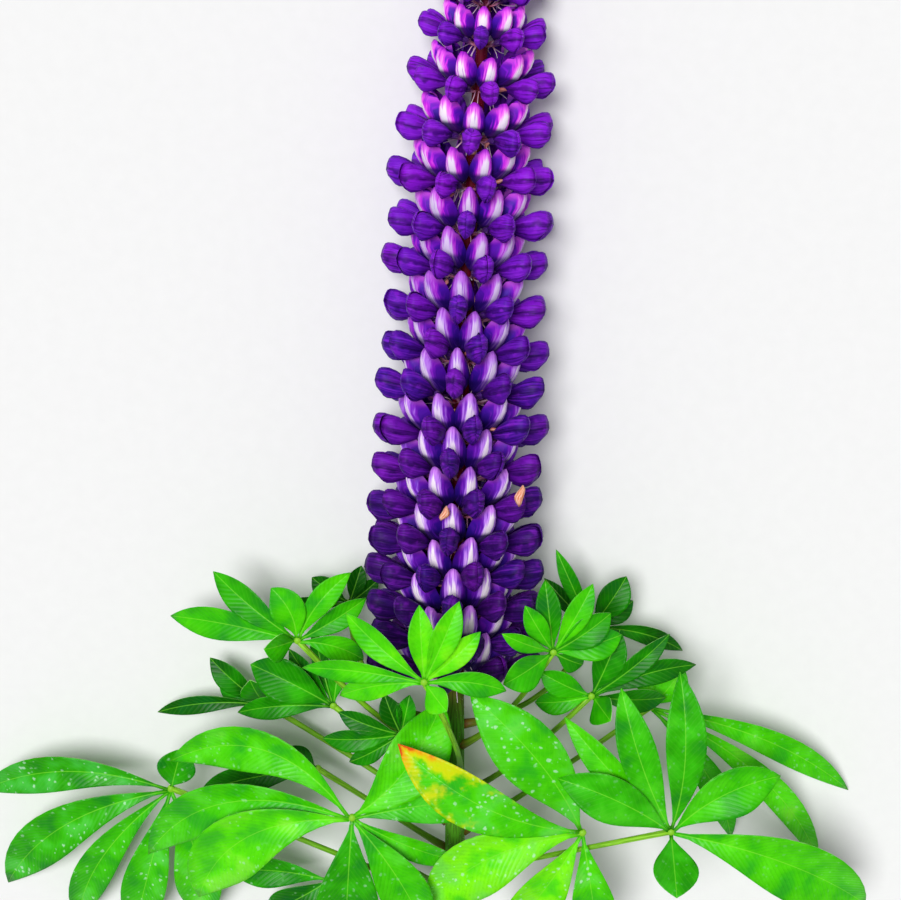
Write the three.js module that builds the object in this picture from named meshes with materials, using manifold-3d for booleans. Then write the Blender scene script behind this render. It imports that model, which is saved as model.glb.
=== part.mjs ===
// A picked lupin flower spike, lying on a surface: one long raceme on its stem, with the palmate
// leaves that grow just below it. Millimetres. +Y runs along the spike to its tip, +X is the
// spike's right-hand side, and +Z is up, away from the surface at z = 0. The origin is the middle
// of the surface that the shoot covers.
import * as THREE from 'three';
import Module from 'manifold-3d';
import { mergeVertices } from 'three/addons/utils/BufferGeometryUtils.js';

const library = await Module();
library.setup();

// ---------------------------------------------------------------------------------------------
// Driving dimensions
// ---------------------------------------------------------------------------------------------

// Where the base of the raceme stands from the origin.
const BASE_FROM_ORIGIN = [16, -105];

// The stem and the flower-bearing axis above it.
const RACEME_LENGTH = 338;
const STEM_BELOW_RACEME = 112;
const AXIS_HEIGHT = 29;
const AXIS_DROP_TO_TIP = 12;
const AXIS_DROP_TO_CUT = 8;
const AXIS_BEND_TO_TIP = 19;
const CUT_END_RADIUS = 4.4;
const STEM_RADIUS = 3.7;
const RACHIS_RADIUS = 3.2;
const SLIM_LENGTH = 60;
const TIP_RADIUS = 0.9;
const STEM_SIDES = 8;
const STEM_STEPS = 12;

// Whorls of florets, counted from the base of the raceme.
const FIRST_WHORL = -4.5;
const FIRST_STEP = 12.8;
const STEP_GROWTH = 0.43;
const WIDEST_STEP_WHORL = 15;
const STEP_SHRINK = 0.89;
const OPEN_WHORLS = 18;
const BUD_WHORLS = 7;
const FLORETS_IN_WHORL = 10;
const BUDS_IN_WHORL = 8;
const EVEN_WHORL_TURN = -5;
const ODD_WHORL_TURN = 12;

// How far the florets reach from the axis, and how that tapers to the tip.
const REACH_AT_BASE = 37.5;
const REACH_TAPER = 0.022;
const SHOULDER_START = 190;
const SHOULDER_LENGTH = 150;
const SHOULDER_LOSS = 25;
const SHOULDER_POWER = 1.8;
const NOMINAL_REACH = 34;

// Whorls lean to the tip in the lower part and to the base above, and florets rise at the tip.
const LEAN_AT_BASE = -11.5;
const LEAN_AT_TIP = 13;
const LEAN_START = 110;
const LEAN_END = 240;
const RISE_START = 228;
const RISE_AT_TIP = 62;
const RISE_POWER = 1.3;

// Small natural differences between florets.
const TURN_JITTER = 2;
const RISE_JITTER = 3;
const SIZE_JITTER = 0.04;

// Florets that meet the surface are pressed up against it.
const PRESS_START = 12;
const PRESS_DEPTH = 8;

// Leaves.
const BLADE_THICKNESS = 1.3;
const FOLD_RISE = 0.34;
const PETIOLE_RADIUS = 1.3;
const PETIOLE_SIDES = 6;
const PETIOLE_STEPS = 4;
const PETIOLE_GAP = 0.5;
const PETIOLE_BEND = [0.3, 0.2];
const HUB_RADIUS = 3;
const HUB_FOOT_RADIUS = 1.8;
const HUB_HEIGHT = 3;
const HUB_SIDES = 6;
const LEAFLET_START = 1.9;
const STALK_HALF_WIDTH = 0.75;
const LEAFLET_ARCH = 0.22;
const WIDEST_POWER = 1.38;
const FULLNESS_POWER = 0.9;
const SHORT_LEAFLET = 45;

// Sizes that only help the sums: half a step along the axis, the block that is cut away under the
// surface, and how close two corners are taken for one.
const HALF_STEP = 0.5;
const GROUND_SPAN = 2000;
const GROUND_DEPTH = 100;
const SAME_CORNER = 1e-5;

const DEGREE = Math.PI / 180;

// ---------------------------------------------------------------------------------------------
// Finishes
// ---------------------------------------------------------------------------------------------

const PETAL_VIOLET = new THREE.MeshStandardMaterial({ color: 0x4b159b, roughness: 0.62, metalness: 0 });
const LEAF_GREEN = new THREE.MeshStandardMaterial({ color: 0x2fae12, roughness: 0.55, metalness: 0 });

// ---------------------------------------------------------------------------------------------
// Solids
// ---------------------------------------------------------------------------------------------

/** A closed geometry as a solid that can be joined and cut. */
function solidFrom(geometry) {
  const bare = geometry.clone();
  bare.deleteAttribute('normal');
  bare.deleteAttribute('uv');
  const merged = mergeVertices(bare, SAME_CORNER);
  return new library.Manifold(new library.Mesh({
    numProp: 3,
    vertProperties: new Float32Array(merged.attributes.position.array),
    triVerts: new Uint32Array(merged.index.array),
  }));
}

/** A solid as a geometry. */
function geometryFrom(solid) {
  const mesh = solid.getMesh();
  const geometry = new THREE.BufferGeometry();
  geometry.setAttribute('position', new THREE.BufferAttribute(new Float32Array(mesh.vertProperties), 3));
  geometry.setIndex(new THREE.BufferAttribute(new Uint32Array(mesh.triVerts), 1));
  geometry.computeVertexNormals();
  return geometry;
}

/** All the solids of a list joined into one, two by two. */
function joined(solids) {
  let row = solids;
  while (row.length > 1) {
    const next = [];
    for (let i = 0; i < row.length; i += 2) {
      next.push(i + 1 < row.length ? row[i].add(row[i + 1]) : row[i]);
    }
    row = next;
  }
  return row[0];
}

/** What a solid keeps above the surface that it lies on. */
function trimmedAtSurface(solid) {
  const below = new THREE.BoxGeometry(GROUND_SPAN, GROUND_SPAN, GROUND_DEPTH);
  below.translate(0, 0, -GROUND_DEPTH / 2);
  return solid.subtract(solidFrom(below));
}

/** A closed geometry from points and triangles. */
function closedGeometry(points, triangles) {
  const geometry = new THREE.BufferGeometry();
  geometry.setAttribute('position', new THREE.Float32BufferAttribute(points.flatMap((p) => p.toArray()), 3));
  geometry.setIndex(triangles.flat());
  return geometry;
}

/** Rings of points joined into a closed skin; a ring of one point is a pointed end. */
function loft(rings) {
  const points = rings.flat();
  const starts = [];
  rings.reduce((count, ring) => {
    starts.push(count);
    return count + ring.length;
  }, 0);
  const triangles = [];
  for (let i = 0; i + 1 < rings.length; i += 1) {
    const sides = Math.max(rings[i].length, rings[i + 1].length);
    for (let j = 0; j < sides; j += 1) {
      const k = (j + 1) % sides;
      const near = rings[i].length > 1 ? [starts[i] + j, starts[i] + k] : [starts[i]];
      const far = rings[i + 1].length > 1 ? [starts[i + 1] + j, starts[i + 1] + k] : [starts[i + 1]];
      if (near.length > 1) {
        triangles.push([near[0], near[1], far[far.length - 1]]);
      }
      if (far.length > 1) {
        triangles.push([near[0], far[1], far[0]]);
      }
    }
  }
  const last = rings.length - 1;
  for (let j = 1; j + 1 < rings[0].length; j += 1) {
    triangles.push([starts[0], starts[0] + j + 1, starts[0] + j]);
  }
  for (let j = 1; j + 1 < rings[last].length; j += 1) {
    triangles.push([starts[last], starts[last] + j, starts[last] + j + 1]);
  }
  return closedGeometry(points, triangles);
}

/** A seeded draw between -1 and 1 for one floret of one whorl. */
function draw(whorl, place, kind) {
  const mixed = Math.sin(whorl * 12.9898 + place * 78.233 + kind * 37.719) * 43758.5453;
  return 2 * (mixed - Math.floor(mixed)) - 1;
}

// ---------------------------------------------------------------------------------------------
// The raceme
// ---------------------------------------------------------------------------------------------

/** The centre of the stem or rachis at a distance along it from the base of the raceme. */
function axisPoint(along) {
  const up = Math.max(along, 0) / RACEME_LENGTH;
  const down = Math.min(along, 0) / STEM_BELOW_RACEME;
  const height = AXIS_HEIGHT - AXIS_DROP_TO_TIP * up * up - AXIS_DROP_TO_CUT * down * down;
  return new THREE.Vector3(AXIS_BEND_TO_TIP * up * up, along, height);
}

/** The directions at a place on the axis: along it, to the front (up) and to the side. */
function axisFrame(along) {
  const forward = axisPoint(along + HALF_STEP).sub(axisPoint(along - HALF_STEP)).normalize();
  const side = new THREE.Vector3().crossVectors(forward, new THREE.Vector3(0, 0, 1)).normalize();
  const front = new THREE.Vector3().crossVectors(side, forward);
  return { forward, side, front };
}

/** The stem's or rachis's radius at a distance along it. */
function axisRadius(along) {
  if (along < 0) {
    return THREE.MathUtils.lerp(STEM_RADIUS, CUT_END_RADIUS, -along / STEM_BELOW_RACEME);
  }
  const taper = Math.max(along - SHOULDER_START, 0) / (RACEME_LENGTH - SHOULDER_START);
  const slow = THREE.MathUtils.lerp(STEM_RADIUS, RACHIS_RADIUS, Math.min(along / SLIM_LENGTH, 1));
  return THREE.MathUtils.lerp(slow, TIP_RADIUS, taper);
}

/** How far open florets reach from the axis at a distance along it. */
function reachAt(along) {
  const past = Math.max(along - SHOULDER_START, 0) / SHOULDER_LENGTH;
  return REACH_AT_BASE - REACH_TAPER * along - SHOULDER_LOSS * past ** SHOULDER_POWER;
}

/** The slope at which a whorl leans towards or away from the base at its front. */
function leanAt(along) {
  const gone = THREE.MathUtils.smoothstep(along, LEAN_START, LEAN_END);
  return Math.tan(THREE.MathUtils.lerp(LEAN_AT_BASE, LEAN_AT_TIP, gone) * DEGREE);
}

/** How steeply florets rise at a distance along the axis, in degrees. */
function riseAt(along) {
  const past = Math.max(along - RISE_START, 0) / (RACEME_LENGTH - RISE_START);
  return RISE_AT_TIP * past ** RISE_POWER;
}

/** The places of the whorls along the axis. */
function whorlPlaces() {
  const places = [];
  let along = FIRST_WHORL;
  let step = FIRST_STEP;
  for (let whorl = 0; whorl < OPEN_WHORLS + BUD_WHORLS; whorl += 1) {
    places.push(along);
    step = whorl < WIDEST_STEP_WHORL ? FIRST_STEP + STEP_GROWTH * whorl : step * STEP_SHRINK;
    along += step;
  }
  return places;
}

/** A height with the floret pressed up against the surface. */
function pressed(height) {
  if (height > PRESS_START) {
    return height;
  }
  const room = PRESS_START + PRESS_DEPTH;
  return room * Math.exp((height - PRESS_START) / room) - PRESS_DEPTH;
}

/**
 * A function that puts a point of a floret on the raceme. The floret's own directions are out
 * from the axis, across, and up along the axis.
 */
function floretPlace(whorl, place, along, count) {
  const { forward, side, front } = axisFrame(along);
  const start = whorl % 2 === 0 ? EVEN_WHORL_TURN : ODD_WHORL_TURN;
  const turn = (start + (360 / count) * place + TURN_JITTER * draw(whorl, place, 1)) * DEGREE;
  const rise = (riseAt(along) + RISE_JITTER * draw(whorl, place, 2)) * DEGREE;
  const size = (reachAt(along) / NOMINAL_REACH) * (1 + SIZE_JITTER * draw(whorl, place, 3));
  const outward = front.clone().multiplyScalar(Math.cos(turn)).addScaledVector(side, Math.sin(turn));
  const across = new THREE.Vector3().crossVectors(forward, outward);
  const lean = leanAt(along) * Math.cos(turn);
  const centre = axisPoint(along);
  return (out, over, up) => {
    const outTurned = size * (out * Math.cos(rise) - up * Math.sin(rise));
    const upTurned = size * (out * Math.sin(rise) + up * Math.cos(rise)) - lean * Math.max(outTurned, 0);
    const point = centre.clone().addScaledVector(outward, outTurned);
    point.addScaledVector(across, size * over).addScaledVector(forward, upTurned);
    point.z = pressed(point.z);
    return point;
  };
}

/** Two triangles of a four-sided face. */
function quad(a, b, c, d) {
  return [[a, b, c], [a, c, d]];
}

/**
 * An open floret: its stalk and calyx, the pouch of the two wing petals, which is a shield from
 * the front, and the banner petal, which stands up behind it with its sides folded back.
 */
function openFloret(put) {
  const points = [put(-1.6, 0, -0.6)];
  const ring = (...corners) => corners.map((corner) => points.push(put(...corner)) - 1);
  const root = 0;
  const [calyxRight, calyxLeft, calyxFoot] = ring([12.5, 1.5, 4.6], [12.5, -1.5, 4.6], [12.5, 0, 1.6]);
  const [wingRight, wingLeft, wingFoot] = ring([21.8, 3.9, 8.2], [21.8, -3.9, 8.2], [20.8, 0, 0.2]);
  const [noseRight, noseLeft, noseFoot] = ring([31.6, 3.6, 10.2], [31.6, -3.6, 10.2], [31, 0, 0.8]);
  const [nose] = ring([33.2, 0, 6.4]);
  const [backRight, crease, backLeft] = ring([18, 4.2, 12], [23.6, 0, 13.2], [18, -4.2, 12]);
  const [tipRight, creaseTop, tipLeft] = ring([19.8, 2.4, 19], [21.8, 0, 19], [19.8, -2.4, 19]);
  const stalk = [
    [root, calyxLeft, calyxRight], [root, calyxRight, calyxFoot], [root, calyxFoot, calyxLeft],
  ];
  const pouch = [
    ...quad(calyxLeft, calyxFoot, wingFoot, wingLeft),
    ...quad(calyxFoot, calyxRight, wingRight, wingFoot),
    ...quad(wingLeft, wingFoot, noseFoot, noseLeft),
    ...quad(wingFoot, wingRight, noseRight, noseFoot),
    ...quad(wingLeft, noseLeft, noseRight, wingRight),
    [noseLeft, noseFoot, nose], [noseFoot, noseRight, nose], [noseRight, noseLeft, nose],
  ];
  const banner = [
    ...quad(wingLeft, crease, backLeft, calyxLeft),
    [wingLeft, wingRight, crease],
    ...quad(wingRight, calyxRight, backRight, crease),
    ...quad(calyxRight, calyxLeft, backLeft, backRight),
    ...quad(backLeft, crease, creaseTop, tipLeft),
    ...quad(crease, backRight, tipRight, creaseTop),
    ...quad(backRight, backLeft, tipLeft, tipRight),
    [tipLeft, creaseTop, tipRight],
  ];
  return solidFrom(closedGeometry(points, [...stalk, ...pouch, ...banner]));
}

/** A closed bud: a plump spindle that points up and out. */
function bud(put) {
  return solidFrom(loft([
    [put(-1.2, 0, -0.6)],
    [put(9, 1.2, 1.4), put(9, 0, 2.6), put(9, -1.2, 1.4), put(9, 0, 0.2)],
    [put(20, 4.4, 3.6), put(19, 0, 8.2), put(20, -4.4, 3.6), put(20, 0, -0.6)],
    [put(30, 0, 7)],
  ]));
}

/** The stem and rachis: one tapering rod, cut square at its lower end. */
function rachis() {
  const rings = [];
  for (let i = 0; i <= STEM_STEPS; i += 1) {
    const along = THREE.MathUtils.lerp(-STEM_BELOW_RACEME, RACEME_LENGTH, i / STEM_STEPS);
    const { side, front } = axisFrame(along);
    const radius = axisRadius(along);
    const ring = [];
    for (let j = 0; j < STEM_SIDES; j += 1) {
      const turn = (2 * Math.PI * j) / STEM_SIDES;
      const point = axisPoint(along).addScaledVector(front, radius * Math.cos(turn));
      ring.push(point.addScaledVector(side, radius * Math.sin(turn)));
    }
    rings.push(ring);
  }
  return solidFrom(loft(rings));
}

/** The whole raceme on its stem. */
function flowerSpike() {
  const solids = [rachis()];
  whorlPlaces().forEach((along, whorl) => {
    const open = whorl < OPEN_WHORLS;
    const count = open ? FLORETS_IN_WHORL : BUDS_IN_WHORL;
    for (let place = 0; place < count; place += 1) {
      const put = floretPlace(whorl, place, along, count);
      solids.push(open ? openFloret(put) : bud(put));
    }
  });
  return trimmedAtSurface(joined(solids));
}

// ---------------------------------------------------------------------------------------------
// The leaves
// ---------------------------------------------------------------------------------------------

// Each leaf, from the base of the raceme: where its stalk leaves the stem (distance along it, and
// turn about it from the front), where its leaflets meet, and for each leaflet its bearing from
// the +X direction in degrees, its reach, its greatest width, the height of its tip, and its bow
// to the left. A stalk that has to rise between its neighbours has its own bend.
const LEAVES = [
  { name: 'leaf_over_base', at: -44, turn: 10, bend: [0.45, 0.25], hub: [-12, 11, 78], leaflets: [
    [141, 39, 10, 68, 0], [93, 32, 10, 82, 0], [68, 36, 11, 82, 0], [44, 30, 9, 80, 0],
    [-8, 32, 10, 75, 3], [-43, 12, 11, 88, 0], [-162, 35, 10, 62, -3], [180, 48, 9, 60, -3]] },
  { name: 'leaf_left_upper', at: -40, turn: -80, hub: [-63, 17, 44], leaflets: [
    [174, 53, 13, 28, -3], [142, 43, 12, 36, 0], [113, 25, 14, 48, -3], [53, 36, 10, 46, 3],
    [31, 32, 10, 40, 0], [176, 12, 12, 58, 0], [-22, 28, 11, 36, 3]] },
  { name: 'leaf_right_upper', at: -32, turn: 60, hub: [39, 14, 50], leaflets: [
    [119, 24, 9, 56, 0], [97, 30, 10, 50, 0], [63, 33, 10, 54, 0], [37, 28, 13, 52, 0],
    [14, 28, 13, 48, 0], [150, 24, 7, 64, 0], [-157, 22, 14, 64, 0], [-30, 14, 9, 44, 0]] },
  { name: 'leaf_right_middle', at: -54, turn: 75, hub: [55, -7, 42], leaflets: [
    [70, 31, 13, 46, 0], [42, 41, 9, 46, 0], [15, 44, 10, 36, 4], [151, 24, 11, 46, 0],
    [-170, 23, 10, 38, 0], [-36, 8, 13, 58, 0], [-6, 31, 10, 34, 0]] },
  { name: 'leaf_right_behind', at: -24, turn: 110, bend: [0.6, 0], hub: [56, 16, 22], leaflets: [
    [114, 37, 7, 26, 0], [134, 28, 7, 20, 0], [58, 26, 13, 24, 0], [30, 20, 9, 18, 0],
    [-19, 41, 8, 12, 4]] },
  { name: 'leaf_right_large', at: -90, turn: 40, hub: [86, -57, 62], leaflets: [
    [131, 66, 12, 66, 0], [109, 66, 15, 68, 2], [89, 69, 16, 68, -3], [29, 49, 20, 62, 6],
    [-26, 93, 27, 40, 8], [150, 53, 19, 72, -4], [-89, 18, 18, 84, 0]] },
  { name: 'leaf_left_large', at: -96, turn: -40, hub: [-41, -51, 62], leaflets: [
    [170, 77, 19, 34, -20], [51, 57, 25, 48, -4], [-146, 78, 27, 40, -16], [-94, 62, 26, 46, 0],
    [-62, 60, 20, 50, 4], [-31, 51, 10, 44, 0], [2, 60, 15, 46, 4], [-161, 92, 20, 28, -20]] },
  { name: 'leaf_left_far', at: -104, turn: -80, hub: [-118, -53, 26], leaflets: [
    [-174, 84, 16, 6, -12], [-145, 92, 21, 1, -12], [74, 20, 16, 30, 0], [-123, 84, 16, 0, -8],
    [-106, 76, 19, 2, 0], [-84, 68, 20, 4, 6]] },
  { name: 'leaf_right_far', at: -72, turn: 95, hub: [81, -18, 24], leaflets: [
    [-27, 98, 12, 3, 9], [-46, 110, 12, 0, 12], [-60, 74, 12, 8, 6], [58, 23, 13, 30, 0],
    [101, 26, 11, 26, 0]] },
  { name: 'leaf_low_centre', at: -84, turn: 15, hub: [51, -59, 58], leaflets: [
    [151, 84, 21, 66, 5], [126, 77, 26, 70, -6], [-151, 71, 25, 50, -10], [-81, 56, 18, 40, 0],
    [-120, 60, 20, 38, 0]] },
  { name: 'leaf_small_centre', at: -62, turn: -15, hub: [-22, -24, 40], leaflets: [
    [159, 27, 9, 40, 0], [-176, 32, 10, 38, 0], [-148, 25, 8, 36, 0], [110, 19, 9, 42, 0],
    [78, 18, 8, 42, 0]] },
  { name: 'leaf_left_inner', at: -52, turn: -95, hub: [-50, -16, 28], leaflets: [
    [153, 38, 18, 26, -2], [-174, 40, 10, 24, -3], [129, 29, 9, 22, 0], [106, 31, 7, 16, 0],
    [82, 24, 9, 20, 0]] },
  { name: 'leaf_left_middle', at: -68, turn: -110, hub: [-80, -20, 14], leaflets: [
    [136, 30, 11, 16, 0], [106, 15, 12, 26, 0], [-172, 46, 8, 6, -4], [162, 20, 9, 8, 0]] },
  { name: 'leaf_left_behind', at: -22, turn: -100, bend: [0.6, 0], hub: [-44, 22, 8], leaflets: [
    [144, 19, 10, 8, 0], [72, 17, 8, 8, 0], [40, 16, 7, 8, 0], [178, 25, 6, 8, 0]] },
  { name: 'leaf_left_under', at: -80, turn: -100, hub: [-57, -45, 24], leaflets: [
    [176, 55, 12, 14, -6], [-165, 52, 13, 16, -4], [138, 16, 11, 26, 0], [156, 38, 9, 22, 0]] },
  { name: 'leaf_left_low', at: -110, turn: -90, hub: [-53, -96, 20], leaflets: [
    [177, 44, 14, 16, -4], [-148, 32, 16, 14, 0], [-108, 34, 14, 8, 0]] },
];

/** The middle line of a leaflet: a curve that arches up from the hub and comes down to its tip. */
function leafletCurve(hub, [bearing, reach, , tipHeight, bow]) {
  const heading = new THREE.Vector3(Math.cos(bearing * DEGREE), Math.sin(bearing * DEGREE), 0);
  const left = new THREE.Vector3(-heading.y, heading.x, 0);
  const start = hub.clone().addScaledVector(heading, LEAFLET_START);
  const tip = hub.clone().addScaledVector(heading, reach).setZ(tipHeight);
  const middle = start.clone().lerp(tip, 0.5).addScaledVector(left, 2 * bow);
  middle.z += LEAFLET_ARCH * reach;
  return new THREE.QuadraticBezierCurve3(start, middle, tip);
}

/** Half a leaflet's width at a share of its length: narrow at the stalk and widest past the middle. */
function leafletHalfWidth(share, width) {
  const body = Math.sin(Math.PI * share ** WIDEST_POWER) ** FULLNESS_POWER;
  return Math.max(STALK_HALF_WIDTH * (1 - share), (width / 2) * body);
}

/** One leaflet: a blade folded up a little along its midrib, which stands out below. */
function leafletGeometry(hub, leaflet) {
  const [, reach, width] = leaflet;
  const curve = leafletCurve(hub, leaflet);
  const shares = reach < SHORT_LEAFLET ? [0, 0.36, 0.72, 0.9] : [0, 0.24, 0.48, 0.72, 0.9];
  const points = [];
  shares.forEach((share) => {
    const centre = curve.getPoint(share);
    const ahead = curve.getTangent(share);
    const left = new THREE.Vector3(-ahead.y, ahead.x, 0).normalize();
    const half = leafletHalfWidth(share, width);
    const edgeRise = new THREE.Vector3(0, 0, FOLD_RISE * half);
    points.push(centre.clone().addScaledVector(left, half).add(edgeRise));
    points.push(centre.clone());
    points.push(centre.clone().addScaledVector(left, -half).add(edgeRise));
    points.push(centre.clone().setZ(centre.z - BLADE_THICKNESS));
  });
  points.push(curve.getPoint(1));
  const triangles = [[0, 2, 1], [0, 3, 2]];
  for (let i = 0; i + 1 < shares.length; i += 1) {
    const [leftEdge, top, rightEdge, rib] = [4 * i, 4 * i + 1, 4 * i + 2, 4 * i + 3];
    triangles.push([leftEdge, top, top + 4], [leftEdge, top + 4, leftEdge + 4]);
    triangles.push([rightEdge, top + 4, top], [rightEdge, rightEdge + 4, top + 4]);
    triangles.push([leftEdge, rib + 4, rib], [leftEdge, leftEdge + 4, rib + 4]);
    triangles.push([rightEdge, rib, rib + 4], [rightEdge, rib + 4, rightEdge + 4]);
  }
  const end = 4 * (shares.length - 1);
  const tip = end + 4;
  triangles.push([end, end + 1, tip], [end + 2, tip, end + 1], [end, tip, end + 3], [end + 2, end + 3, tip]);
  return closedGeometry(points, triangles);
}

/** The line of a leaf's stalk, from just off the stem to the hub. */
function petioleCurve({ at, turn, hub, bend = PETIOLE_BEND }) {
  const { forward, side, front } = axisFrame(at);
  const outward = front.clone().multiplyScalar(Math.cos(turn * DEGREE));
  outward.addScaledVector(side, Math.sin(turn * DEGREE));
  const clear = axisRadius(at) + PETIOLE_RADIUS + PETIOLE_GAP;
  const foot = axisPoint(at).addScaledVector(outward, clear);
  const end = new THREE.Vector3(...hub);
  const span = foot.distanceTo(end);
  const middle = foot.clone().addScaledVector(outward, bend[0] * span);
  middle.addScaledVector(forward, bend[1] * span);
  return new THREE.QuadraticBezierCurve3(foot, middle, end);
}

/** A leaf's stalk: a thin rod along its line. */
function petiole(leaf) {
  const section = new THREE.Shape();
  for (let j = 0; j < PETIOLE_SIDES; j += 1) {
    const turn = (2 * Math.PI * j) / PETIOLE_SIDES;
    const corner = [PETIOLE_RADIUS * Math.cos(turn), PETIOLE_RADIUS * Math.sin(turn)];
    if (j === 0) {
      section.moveTo(...corner);
    } else {
      section.lineTo(...corner);
    }
  }
  section.closePath();
  return solidFrom(new THREE.ExtrudeGeometry(section, {
    steps: PETIOLE_STEPS,
    bevelEnabled: false,
    extrudePath: petioleCurve(leaf),
  }));
}

/** One palmate leaf: its stalk, the knot where its leaflets meet, and the leaflets. */
function palmateLeaf(leaf) {
  const hub = new THREE.Vector3(...leaf.hub);
  const knot = new THREE.CylinderGeometry(HUB_RADIUS, HUB_FOOT_RADIUS, HUB_HEIGHT, HUB_SIDES);
  knot.rotateX(Math.PI / 2);
  knot.translate(hub.x, hub.y, hub.z - BLADE_THICKNESS / 2);
  const solids = [petiole(leaf), solidFrom(knot)];
  leaf.leaflets.forEach((leaflet) => solids.push(solidFrom(leafletGeometry(hub, leaflet))));
  return trimmedAtSurface(joined(solids));
}

// ---------------------------------------------------------------------------------------------
// The assembly
// ---------------------------------------------------------------------------------------------

/** A named piece. */
function piece(name, solid, finish) {
  const mesh = new THREE.Mesh(geometryFrom(solid), finish.clone());
  mesh.name = name;
  return mesh;
}

const lupin = new THREE.Group();
lupin.position.set(...BASE_FROM_ORIGIN, 0);
lupin.add(piece('flower_spike', flowerSpike(), PETAL_VIOLET));
LEAVES.forEach((leaf) => lupin.add(piece(leaf.name, palmateLeaf(leaf), LEAF_GREEN)));

export default lupin;
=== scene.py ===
"""A picked lupin flower spike that lies on a pale table, made petal by petal and leaf by leaf.

Lengths are millimetres from the base of the raceme until a point is laid in the row frame, which
is in metres. +Y runs along the spike to its tip, +X is its right-hand side and +Z is up.
"""

import logging
import math
import random
from collections.abc import Callable, Sequence
from dataclasses import dataclass
from enum import Enum
from functools import partial

import bmesh
import bpy
from bpy.types import Material, Mesh, Node, NodeSocket, NodeTree, Object
from mathutils import Matrix, Vector


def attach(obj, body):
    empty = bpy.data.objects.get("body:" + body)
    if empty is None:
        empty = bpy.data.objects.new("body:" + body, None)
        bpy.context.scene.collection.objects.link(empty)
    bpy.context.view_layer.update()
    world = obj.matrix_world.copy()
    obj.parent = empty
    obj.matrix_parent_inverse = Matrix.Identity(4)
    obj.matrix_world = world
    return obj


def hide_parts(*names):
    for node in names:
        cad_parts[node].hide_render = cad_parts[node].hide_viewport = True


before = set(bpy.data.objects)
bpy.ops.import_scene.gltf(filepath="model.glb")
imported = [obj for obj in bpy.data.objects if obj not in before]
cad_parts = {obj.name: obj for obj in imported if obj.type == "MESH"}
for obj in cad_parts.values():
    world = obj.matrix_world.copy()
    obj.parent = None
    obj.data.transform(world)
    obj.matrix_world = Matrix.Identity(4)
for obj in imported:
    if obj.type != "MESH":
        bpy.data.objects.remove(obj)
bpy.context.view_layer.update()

LOG = logging.getLogger("lupin")

MM = 0.001
BASE_FROM_ORIGIN = Vector((16.0, -105.0, 0.0))
TABLE_CLEARANCE = 0.12
UP = Vector((0.0, 0.0, 1.0))
# The sRGB curve: the end and slope of its straight part, and the offset and power of the rest.
SRGB_KNEE, SRGB_SLOPE, SRGB_OFFSET, SRGB_POWER = 0.04045, 12.92, 0.055, 2.4
# What stirs a whorl, a place and a kind of draw into one number, and how far that is spread.
DRAW_WEIGHTS = (12.9898, 78.233, 37.719)
DRAW_SPREAD = 43758.5453
HEADING_STEP = 0.01

Place = Callable[[Vector], Vector]
NodeSettings = dict[str | int, object]
NodeLinks = dict[str | int, NodeSocket]
Stops = tuple[tuple[float, str], ...]


class Mark(str, Enum):
    """What a mesh remembers at each point, for the materials to read."""

    AGE = "age"
    TONE = "tone"
    SHARE = "share"
    EDGE = "edge"
    RISE = "rise"
    LENGTHWISE = "lengthwise"
    CROSSWISE = "crosswise"
    SPECKS = "specks"
    BLUSH = "blush"


Marks = Callable[[Vector], dict[Mark, float]]


# ----------------------------------------------------------------------------------------------
# Small sums
# ----------------------------------------------------------------------------------------------


def linear(code: str, alpha: float = 1.0) -> tuple[float, float, float, float]:
    """Turns an sRGB colour into the linear values that a shader takes.

    Args:
        code: The colour as #rrggbb.
        alpha: Its opacity.

    Returns:
        Linear red, green and blue, and the opacity.
    """
    parts = [int(code[i : i + 2], 16) / 255.0 for i in (1, 3, 5)]
    red, green, blue = (
        part / SRGB_SLOPE
        if part <= SRGB_KNEE
        else ((part + SRGB_OFFSET) / (1.0 + SRGB_OFFSET)) ** SRGB_POWER
        for part in parts
    )
    return red, green, blue, alpha


def lerp(start: float, end: float, share: float) -> float:
    """The number a share of the way from start to end."""
    return start + (end - start) * share


def eased(share: float) -> float:
    """A share held to 0..1 that starts and stops gently."""
    held = min(max(share, 0.0), 1.0)
    return held * held * (3.0 - 2.0 * held)


def draw(whorl: int, place: int, kind: int) -> float:
    """A settled draw for one floret or leaflet, the same on every run.

    Args:
        whorl: The whorl's or leaf's number.
        place: The floret's or leaflet's number in it.
        kind: What is drawn.

    Returns:
        A number between -1 and 1.
    """
    first, second, third = DRAW_WEIGHTS
    mixed = math.sin(whorl * first + place * second + kind * third) * DRAW_SPREAD
    return 2.0 * (mixed - math.floor(mixed)) - 1.0


def bezier(points: Sequence[Vector], share: float) -> Vector:
    """A point on the smooth curve that two to four control points pull.

    Args:
        points: The control points.
        share: How far along the curve, from 0 to 1.

    Returns:
        The point on the curve.
    """
    row = list(points)
    while len(row) > 1:
        row = [a.lerp(b, share) for a, b in zip(row, row[1:])]
    return row[0]


def bezier_heading(points: Sequence[Vector], share: float) -> Vector:
    """The direction in which that curve runs at a share of its length."""
    near, far = max(share - HEADING_STEP, 0.0), min(share + HEADING_STEP, 1.0)
    return (bezier(points, far) - bezier(points, near)).normalized()


def to_row(point: Vector) -> Vector:
    """Lays a point in the row frame, above the table.

    Args:
        point: The point, in millimetres from the raceme's base.

    Returns:
        The same point in metres, in the row frame.
    """
    laid = (point + BASE_FROM_ORIGIN) * MM
    laid.z = max(laid.z, TABLE_CLEARANCE * MM)
    return laid


# ----------------------------------------------------------------------------------------------
# Patterns: plain closed shapes that are copied and bent into petals, stalks and leaflets
# ----------------------------------------------------------------------------------------------


class Side(int, Enum):
    """Which finish of a sheet a face wears."""

    UPPER = 0
    LOWER = 1
    RIM = 2


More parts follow.
